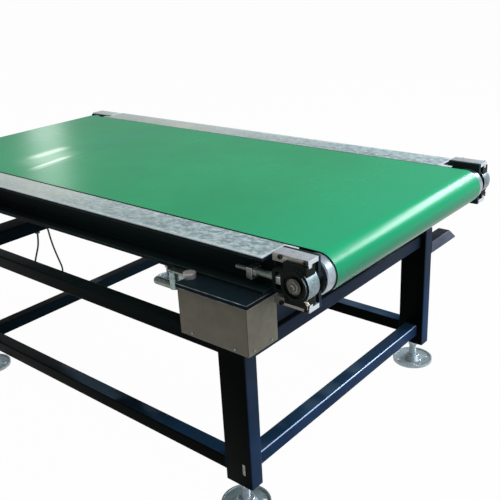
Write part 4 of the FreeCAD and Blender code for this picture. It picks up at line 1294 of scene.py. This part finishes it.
@dataclass
class TakeUps:
    """The tail bearings with their guide bars, adjusting screws and grease nipples."""

    bar_bevel: float = 1.1
    housing_bevel: float = 1.4
    screw_bevel: float = 0.6
    bolt_xs: Span = (34.0, 95.0)
    bolt_rise: float = 49.7
    bolt_reach: float = 5.6
    bar_front: float = 406.0
    flank_x: float = 20.0
    flank_rise: float = 27.0
    nipple: Point = (21.5, 409.5, -26.5)
    nut_x: Span = (24.5, 40.0)
    thread_x: Span = (-85.5, -53.0)
    screw_y: float = 400.0
    thread_radius: float = 5.35
    thread_pitch: float = 1.6

    def on_bolt(self, place: Vector, normal: Vector) -> bool:
        """Tell whether a place is on a screw of a guide bar."""
        rise = abs(place.z - Conveyor.AXIS_Z) - self.bolt_rise
        return abs(place.y) > self.bar_front and any(math.hypot(place.x - x, rise) < self.bolt_reach
                                                     for x in self.bolt_xs)

    def on_flank(self, place: Vector, normal: Vector) -> bool:
        """Tell whether a place is on the housing's rounded side towards the tail, which has a painted sheen.
        """
        level = abs(place.z - Conveyor.AXIS_Z) < self.flank_rise
        return level and place.x > Conveyor.TAIL_X + self.flank_x and normal.x > 0.35 and abs(normal.y) < 0.5

    def on_nipple(self, place: Vector, normal: Vector) -> bool:
        """Tell whether a place is on the grease nipple."""
        x, y, z = self.nipple
        return place.x > Conveyor.TAIL_X + x and place.z < Conveyor.AXIS_Z + z and abs(place.y) > y

    def on_nut(self, place: Vector, normal: Vector) -> bool:
        """Tell whether a place is on the side of the nut in the housing's window."""
        return self.nut_x[0] < place.x < self.nut_x[1] and abs(normal.x) < 0.97

    def screw_thread(self, side: Side) -> None:
        """Cut the thread that shows behind the adjusting screw's lug.

        Args:
            side: the bearing's side.
        """
        ends = (Conveyor.at(x, side.value * self.screw_y, Conveyor.AXIS_Z) for x in self.thread_x)
        ridge = Bench.thread(side.of("adjusting_thread"), *ends, self.thread_radius, self.thread_pitch)
        Bench.finish(ridge, Paint.SCREW)

    def build(self) -> None:
        """Dress the take-up bearings of both sides."""
        for side in Side:
            bars = Bench.skin(side.of("guide_bars_tail"), self.bar_bevel, Paint.BARS, 50)
            # Painted light: lighter tops and tail ends.
            Bench.inlay(bars, Paint.BAR_TOP, lambda p, n: n.z > 0.6)
            Bench.inlay(bars, Paint.BAR_END, lambda p, n: n.x > 0.6)
            Bench.inlay(bars, Paint.OXIDE, self.on_bolt)
            housing = Bench.skin(side.of("bearing_housing_tail"), self.housing_bevel)
            # Painted sheen on the housing's rounded side towards the tail.
            Bench.inlay(housing, Paint.FLANK, self.on_flank)
            Bench.inlay(housing, Paint.BRASS, self.on_nipple)
            screw = Bench.skin(side.of("adjusting_screw_tail"), self.screw_bevel, Paint.SCREW)
            Bench.inlay(screw, Paint.NUT, self.on_nut)
            self.screw_thread(side)


@dataclass
class HeadBearings:
    """The flange bearings of the head drum."""

    bevel: float = 1.2
    bolt_place: float = 29.0
    bolt_radius: float = 5.7
    flange_front: float = 385.2

    def on_bolt(self, place: Vector, normal: Vector) -> bool:
        """Tell whether a place is on one of the four bolt heads."""
        across, up = abs(place.x - Conveyor.HEAD_X), abs(place.z - Conveyor.AXIS_Z)
        return (math.hypot(across - self.bolt_place, up - self.bolt_place) < self.bolt_radius
                and abs(place.y) > self.flange_front)

    def build(self) -> None:
        """Dress both flange bearings."""
        for side in Side:
            Bench.inlay(Bench.skin(side.of("bearing_housing_head"), self.bevel), Paint.ZINC, self.on_bolt)


@dataclass
class Rollers:
    """The end drums and the return rollers."""

    bevel: float = 0.5
    hanger_bevel: float = 0.6
    ring_start: float = 382.5
    ring_radius: float = 12.9
    shaft_start: float = 416.0
    shaft_end: float = 424.0
    shaft_flat: float = 11.6
    nub_radius: float = 7.0
    nub_length: float = 4.0
    centre_hole: float = 2.4
    centre_depth: float = 3.0

    @staticmethod
    def off_axis(place: Vector) -> float:
        """Give how far a place is from the tail roller's axis."""
        return math.hypot(place.x - Conveyor.TAIL_X, place.z - Conveyor.AXIS_Z)

    def on_shaft(self, place: Vector, normal: Vector) -> bool:
        """Tell whether a place is on the shaft's end outside the bearings."""
        return abs(place.y) > self.shaft_start

    def on_ring(self, place: Vector, normal: Vector) -> bool:
        """Tell whether a place is on the bearing's inner ring, outside the shaft."""
        return abs(place.y) > self.ring_start and self.off_axis(place) > self.ring_radius

    def on_nub(self, place: Vector, normal: Vector) -> bool:
        """Tell whether a place is on the side of the nub on a shaft's end."""
        past_end = abs(place.y) > self.shaft_end + 0.2
        return past_end and self.off_axis(place) > self.nub_radius - 1.5 and abs(normal.y) < 0.5

    def build(self) -> None:
        """Dress the drums and rollers, and the hangers that carry the rollers."""
        roller = Bench.skin("tail_roller", self.bevel)
        self.centre(roller)
        Bench.inlay(roller, Paint.SHAFT, self.on_shaft)
        Bench.inlay(roller, Paint.OXIDE, self.on_ring)
        Bench.inlay(roller, Paint.NUB, self.on_nub)
        for node in ("head_drum", "return_roller_1", "return_roller_2"):
            Bench.skin(node, self.bevel)
        Bench.skin("return_hangers", self.hanger_bevel)

    def centre(self, roller: bpy.types.Object) -> None:
        """Turn the nubs on both shaft ends and drill their centres.

        Args:
            roller: the tail roller.
        """
        for side in Side:
            Bench.mark_flat(roller, Axis.Y, Conveyor.at(0, side.value * self.shaft_end, 0).y)
            with Bench.editing(roller):
                Bench.sink(self.shaft_flat - self.nub_radius, (0, side.value * self.nub_length * MM, 0))
                Bench.sink(self.nub_radius - self.centre_hole, (0, -side.value * self.centre_depth * MM, 0))
        Bench.smooth(roller)


@dataclass
class Feet:
    """The levelling feet."""

    bevel: float = 0.8
    centres: tuple[tuple[str, float], tuple[str, float]] = (("tail", -94.5), ("head", -1193.0))
    centre_y: float = 409.0
    stud: Span = (20.5, 54.5)
    stud_radius: float = 10.5
    stud_pitch: float = 2.5

    def build(self) -> None:
        """Dress the four feet and thread their studs."""
        for (end, x), side in product(self.centres, Side):
            Bench.skin(side.of(f"foot_{end}"), self.bevel, Paint.FEET)
            low, high = (Conveyor.at(x, side.value * self.centre_y, z) for z in self.stud)
            ridge = Bench.thread(side.of(f"foot_thread_{end}"), low, high, self.stud_radius, self.stud_pitch)
            Bench.finish(ridge, Paint.FEET)


@dataclass
class ControlBox:
    """The sheet box below the near rail, its cap, its screws and the clamp beside it."""

    bevel: float = 0.8
    cap_bevel: float = 1.0
    clamp_bevel: float = 1.2
    front_y: float = -476.0
    back_y: float = -381.0
    length: float = 192.0
    bottom: float = 462.0
    top: float = 570.0
    screw: Screw = Screw(2.3, 1.6)
    screw_rise: float = 8.0
    front_screws: Span = (-36.5, -157.0)
    side_screws: Span = (-459.0, -402.5)
    seam_in: float = 1.3
    seam_half: Span = (0.35, 0.12)
    disc_x: float = -205.0
    hub: Span = (-256.0, 579.5)
    bar: Span = (-250.5, 555.0)

    def screws(self) -> None:
        """Set the small screws along the bottom of the box's sides."""
        z = self.bottom + self.screw_rise
        seats = [((x, self.front_y, z), -Axis.Y.value) for x in self.front_screws]
        for y in self.side_screws:
            seats += [((0, y, z + 1), Axis.X.value), ((-self.length, y, z + 1), -Axis.X.value)]
        Bench.finish(Bench.join(Bench.screw_heads(seats, self.screw), "box_screws"), Paint.SCREW)

    def seams(self) -> None:
        """Show the open joints where the box's sides meet."""
        strips = []
        across, deep = self.seam_half
        for x, y in product((-self.length, 0.0), (self.front_y, self.back_y)):
            middle = Vector((x + (self.seam_in if x < 0 else -self.seam_in), y, 0))
            low = middle + Vector((-across, -deep, self.bottom + 2))
            high = middle + Vector((across, deep, self.top - 1))
            strips.append(Bench.block("box_seam", Conveyor.at(*low), Conveyor.at(*high)))
            Bench.chamfer(strips[-1], 0.1, 1)
        Bench.finish(Bench.join(strips, "box_seams"), Paint.SHADOW)

    def build(self) -> None:
        """Dress the box, its cap and the clamp."""
        Bench.skin("control_box", self.bevel)
        Bench.skin("control_box_cap", self.cap_bevel, Paint.CAP)
        clamp = Bench.skin("bed_clamp", self.clamp_bevel, Paint.CLAMP)
        (hub_x, hub_top), (bar_x, bar_bottom) = self.hub, self.bar
        Bench.inlay(clamp, Paint.DISC, lambda p, n: p.x > self.disc_x)
        Bench.inlay(clamp, Paint.HUB, lambda p, n: p.x > hub_x and p.z < hub_top)
        Bench.inlay(clamp, Paint.NAVY, lambda p, n: p.x < bar_x and p.z > bar_bottom)
        self.screws()
        self.seams()


@dataclass
class Drive:
    """The gearbox, its arm, the motor and the motor's terminal box."""

    gearbox_bevel: float = 1.5
    box_bevel: float = 1.2
    small_bevel: float = 0.8
    motor_bevel: float = 0.5
    face_y: float = -492.0
    cover_radius: float = 42.0
    cover_height: float = 3.2
    cover_rim: float = 6.0
    cover_sunk: float = 1.2
    cover_circle: float = 36.0
    cover_bolt_seat: float = 1.6
    cover_bolt: Screw = Screw(3.4, 3.2)
    plug: Screw = Screw(5.2, 3.6, Head.HEX)
    plugs: tuple[Span, ...] = ((-38, -58), (38, -58), (0, 36))
    centre_y: float = -461.0
    flange_circle: float = 65.0
    flange_bottom: float = 533.0
    flange_bolt: Screw = Screw(4.2, 4.0, Head.HEX)
    arm_front: float = -430.0
    arm_xs: Span = (-1393.0, -1367.0)
    arm_zs: Span = (584.0, 656.0)
    arm_bolt: Screw = Screw(5.0, 4.5, Head.HEX)
    lid_x: float = -1352.0
    lid_ys: Span = (-491.0, -431.0)
    lid_zs: Span = (428.0, 478.0)
    lid_screw: Screw = Screw(2.6, 1.8)
    blank: tuple[Point, Point] = ((-1352.2, -482, 441), (-1351.4, -440, 465))
    motor_bottom: float = 333.0
    slot_width: float = 3.6
    slot_depth: float = 5.0
    slots: int = 3

    @staticmethod
    def circle(count: int, radius: float) -> list[Span]:
        """Spread places evenly on a circle, from half a step past its start.

        Args:
            count: how many places.
            radius: the circle's radius.

        Returns:
            Each place's two offsets from the centre.
        """
        turns = [math.radians(360 / count * (i + 0.5)) for i in range(count)]
        return [(radius * math.cos(turn), radius * math.sin(turn)) for turn in turns]

    def cover(self) -> None:
        """Bolt a round cover on the gearbox's outer side and set its plugs."""
        out = -Axis.Y.value
        x, z = Conveyor.HEAD_X, Conveyor.AXIS_Z
        seat = Conveyor.at(x, self.face_y, z)
        cover = Bench.bar("gearbox_cover", seat - out * MM, seat + out * self.cover_height * MM,
                          self.cover_radius, 64)
        Bench.recess(cover, out, self.cover_rim, self.cover_sunk)
        Bench.chamfer(cover, 0.6)
        Bench.smooth(cover)
        Bench.finish(cover, Paint.ALLOY)
        circle = self.circle(6, self.cover_circle)
        ring = [((x + across, self.face_y - self.cover_bolt_seat, z + up), out) for across, up in circle]
        plugs = [((x + across, self.face_y, z + up), out) for across, up in self.plugs]
        bolts = Bench.screw_heads(ring, self.cover_bolt) + Bench.screw_heads(plugs, self.plug)
        Bench.finish(Bench.join(bolts, "gearbox_bolts"), Paint.ZINC)

    def flange_bolts(self) -> None:
        """Bolt the motor's flange to the gearbox from below."""
        seats = [((Conveyor.HEAD_X + across, self.centre_y + deep, self.flange_bottom), -Axis.Z.value)
                 for across, deep in self.circle(4, self.flange_circle)]
        Bench.finish(Bench.join(Bench.screw_heads(seats, self.flange_bolt), "flange_bolts"), Paint.ZINC)

    def arm_bolts(self) -> None:
        """Bolt the arm to the rail's two flanges."""
        seats = [((x, self.arm_front, z), -Axis.Y.value) for x, z in product(self.arm_xs, self.arm_zs)]
        Bench.finish(Bench.join(Bench.screw_heads(seats, self.arm_bolt), "arm_bolts"), Paint.ZINC)

    def lid(self) -> None:
        """Screw down the terminal box's lid, with a blank plate on it."""
        seats = [((self.lid_x, y, z), Axis.X.value) for y, z in product(self.lid_ys, self.lid_zs)]
        Bench.finish(Bench.join(Bench.screw_heads(seats, self.lid_screw), "lid_screws"), Paint.ZINC)
        low, high = (Conveyor.at(*corner) for corner in self.blank)
        blank = Bench.block("blank_plate", low, high)
        Bench.chamfer(blank, 0.25)
        Bench.finish(blank, Paint.ALLOY)

    def grille(self, motor: bpy.types.Object) -> None:
        """Sink ring slots into the fan cowl's bottom.

        Args:
            motor: the motor's shell.
        """
        Bench.mark_flat(motor, Axis.Z, Conveyor.at(0, 0, self.motor_bottom).z)
        with Bench.editing(motor):
            for depth in (self.slot_depth, -self.slot_depth) * self.slots:
                Bench.sink(self.slot_width, (0, 0, depth * MM))
        Bench.smooth(motor)

    def build(self) -> None:
        """Dress the drive and bolt it together."""
        Bench.skin("gearbox", self.gearbox_bevel)
        Bench.skin("gearbox_arm", self.small_bevel)
        self.grille(Bench.skin("drive_motor", self.motor_bevel, sharpness=50))
        Bench.skin("terminal_box", self.box_bevel)
        Bench.skin("cable_glands", self.small_bevel)
        self.cover()
        self.flange_bolts()
        self.arm_bolts()
        self.lid()


@dataclass
class MotorCable:
    """The free cable that hangs between the head member's gland and the motor's terminal box."""

    route: Sequence[Point] = (
        (-0.4885, -0.1875, 0.3850), (-0.4885, -0.1895, 0.3490), (-0.4895, -0.2025, 0.3170),
        (-0.4925, -0.2155, 0.2810), (-0.4965, -0.2155, 0.2410), (-0.5015, -0.1915, 0.2030),
        (-0.5075, -0.1505, 0.1790), (-0.5135, -0.1105, 0.1790), (-0.5195, -0.0895, 0.2070),
        (-0.5245, -0.0985, 0.2490), (-0.5295, -0.1065, 0.2890), (-0.5335, -0.1125, 0.3310),
        (-0.5375, -0.1145, 0.3710), (-0.5425, -0.1205, 0.4070), (-0.5525, -0.1465, 0.4430),
        (-0.5695, -0.1855, 0.4640), (-0.5925, -0.2305, 0.4700), (-0.6143, -0.2835, 0.4650),
        (-0.6354, -0.3365, 0.4690), (-0.6565, -0.3775, 0.4610), (-0.6705, -0.4065, 0.4530),
        (-0.6705, -0.4365, 0.4530),
    )
    diameter: float = 0.006
    length: float = 0.8805

    def build(self) -> None:
        """Lay the cable on one smooth curve through its route."""
        curve = bpy.data.curves.new("motor_cable_line", "CURVE")
        curve.dimensions = "3D"
        spline = curve.splines.new("NURBS")
        spline.points.add(len(self.route) - 1)
        for point, place in zip(spline.points, self.route):
            point.co = (*place, 1.0)
        spline.order_u = 3
        spline.use_endpoint_u = True
        spline.resolution_u = 8
        curve.bevel_depth = self.diameter / 2
        curve.bevel_resolution = 4
        curve.use_fill_caps = True
        cable = bpy.data.objects.new("motor_cable_sheath", curve)
        bpy.context.scene.collection.objects.link(cable)
        Bench.finish(cable, Paint.SHEATH, "frame", Slot.SHEATH, ["motor_cable"])


@dataclass(frozen=True)
class Lamp:
    """A soft rectangular lamp, placed and aimed in the bed's millimetres."""

    name: str
    place: Point
    aim: Point
    size: Span
    power: float
    colour: Colour

    def build(self) -> None:
        """Hang the lamp and turn it to its aim."""
        light = bpy.data.lights.new(self.name, "AREA")
        light.shape = "RECTANGLE"
        light.size, light.size_y = self.size
        light.energy = self.power
        light.color = self.colour
        lamp = bpy.data.objects.new(self.name, light)
        lamp.location = Conveyor.at(*self.place)
        towards = Conveyor.at(*self.aim) - lamp.location
        lamp.rotation_euler = towards.to_track_quat("-Z", "Y").to_euler()
        bpy.context.scene.collection.objects.link(lamp)


@dataclass
class Studio:
    """The camera, the soft lamps, the world and the pale floor."""

    eye: Point = (847.27, -1431.81, 1213.41)
    turn: Point = (67.92725, 2.85899, 39.79486)
    focal_px: float = 730.09
    image_px: float = 500.0
    sensor: float = 36.0
    far: float = 60.0
    lamps: tuple[Lamp, ...] = (
        Lamp("back_window", (1300, 3400, 2500), (0, 0, 600), (2.6, 0.70), 175, (0.86, 0.93, 1.0)),
        Lamp("head_window", (-5200, 2600, 1800), (-1100, -150, 660), (0.3, 1.1), 3.0, (0.97, 1.0, 0.97)),
        Lamp("tail_side", (3400, 300, 1700), (-300, 0, 450), (3.2, 2.6), 80, (0.86, 0.93, 1.0)),
        Lamp("overhead", (-500, -300, 3700), (-650, 0, 600), (3.2, 2.4), 52, (1.0, 0.99, 0.97)),
    )
    white: Colour = (1.0, 1.0, 1.0)
    sky: Colour = (0.88, 0.95, 1.0)
    sky_strength: float = 0.28
    sky_mirrored: float = 0.2
    floor_dark: Colour = (0.46, 0.46, 0.46)
    floor_pale: Colour = (0.50, 0.50, 0.50)
    floor_size: float = 240.0
    floor_drop: float = 0.0005
    floor_shown: float = 0.98

    def camera(self) -> None:
        """Add the camera at the photograph's angle."""
        lens = bpy.data.cameras.new("view")
        lens.sensor_width = self.sensor
        lens.lens = self.focal_px / self.image_px * self.sensor
        lens.clip_end = self.far
        camera = bpy.data.objects.new("view", lens)
        camera.location = Conveyor.at(*self.eye)
        camera.rotation_euler = Euler([math.radians(a) for a in self.turn])
        bpy.context.scene.collection.objects.link(camera)
        bpy.context.scene.camera = camera

    def looked_at(self, graph: Graph, glossy: float = 1.0) -> Signal:
        """Tell the rays that look at the background from those that light the object.

        Args:
            graph: the graph to fill.
            glossy: how much of the background's white a reflection gets.

        Returns:
            1 for a ray from the camera or through glass, glossy for a reflected one, 0 for the rest.
        """
        camera, through, mirrored = (graph.node("ShaderNodeLightPath", {}, {}, kind)
                                     for kind in ("Is Camera Ray", "Is Transmission Ray", "Is Glossy Ray"))
        return camera.highest(through).highest(mirrored * glossy)

    def world(self) -> None:
        """Give the world a soft, slightly cool light that looks white."""
        world = bpy.data.worlds.new("studio")
        graph = Graph("studio", world)
        seen = self.looked_at(graph, self.sky_mirrored)
        graph.set("Color", graph.mix(seen, self.sky, self.white))
        graph.set("Strength", seen * (1 - self.sky_strength) + self.sky_strength)
        bpy.context.scene.world = world

    def floor(self) -> None:
        """Lay the pale floor, white to the rays that look at it and grey to the light that it gives back."""
        Bench.clear()
        bpy.ops.mesh.primitive_plane_add(size=self.floor_size, location=(0, 0, -self.floor_drop))
        floor = bpy.context.object
        floor.name = "floor"
        graph = Graph("pale_floor")
        graph.set("Base Color", graph.mix(graph.noise(900, 2), self.floor_dark, self.floor_pale))
        graph.set("Roughness", 0.9)
        graph.set("Specular IOR Level", 0.1)
        shown = self.looked_at(graph) * self.floor_shown
        white = graph.node("ShaderNodeEmission", {}, {"Color": self.white, "Strength": 1.0})
        blend = graph.node("ShaderNodeMixShader", {}, {0: shown, 1: Signal(graph, graph.surface.outputs[0]),
                                                       2: white})
        graph.feed(graph.output.inputs["Surface"], blend)
        floor.data.materials.append(graph.material)

    def build(self) -> None:
        """Set up the view, the lamps, the world and the floor."""
        self.camera()
        for lamp in self.lamps:
            lamp.build()
        self.world()
        self.floor()
        bpy.context.scene.view_settings.view_transform = "Standard"


def main() -> None:
    """Build the conveyor's pieces in order."""
    logging.basicConfig(level=logging.INFO, format="%(message)s")
    Conveyor.load()
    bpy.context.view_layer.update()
    for part in (BeltLoop(), Stand(), SideFrames(), TakeUps(), HeadBearings(), Rollers(), Feet(),
                 ControlBox(), Drive(), MotorCable(), Studio()):
        part.build()
        LOG.info("built %s", type(part).__name__)


if __name__ == "__main__":
    main()
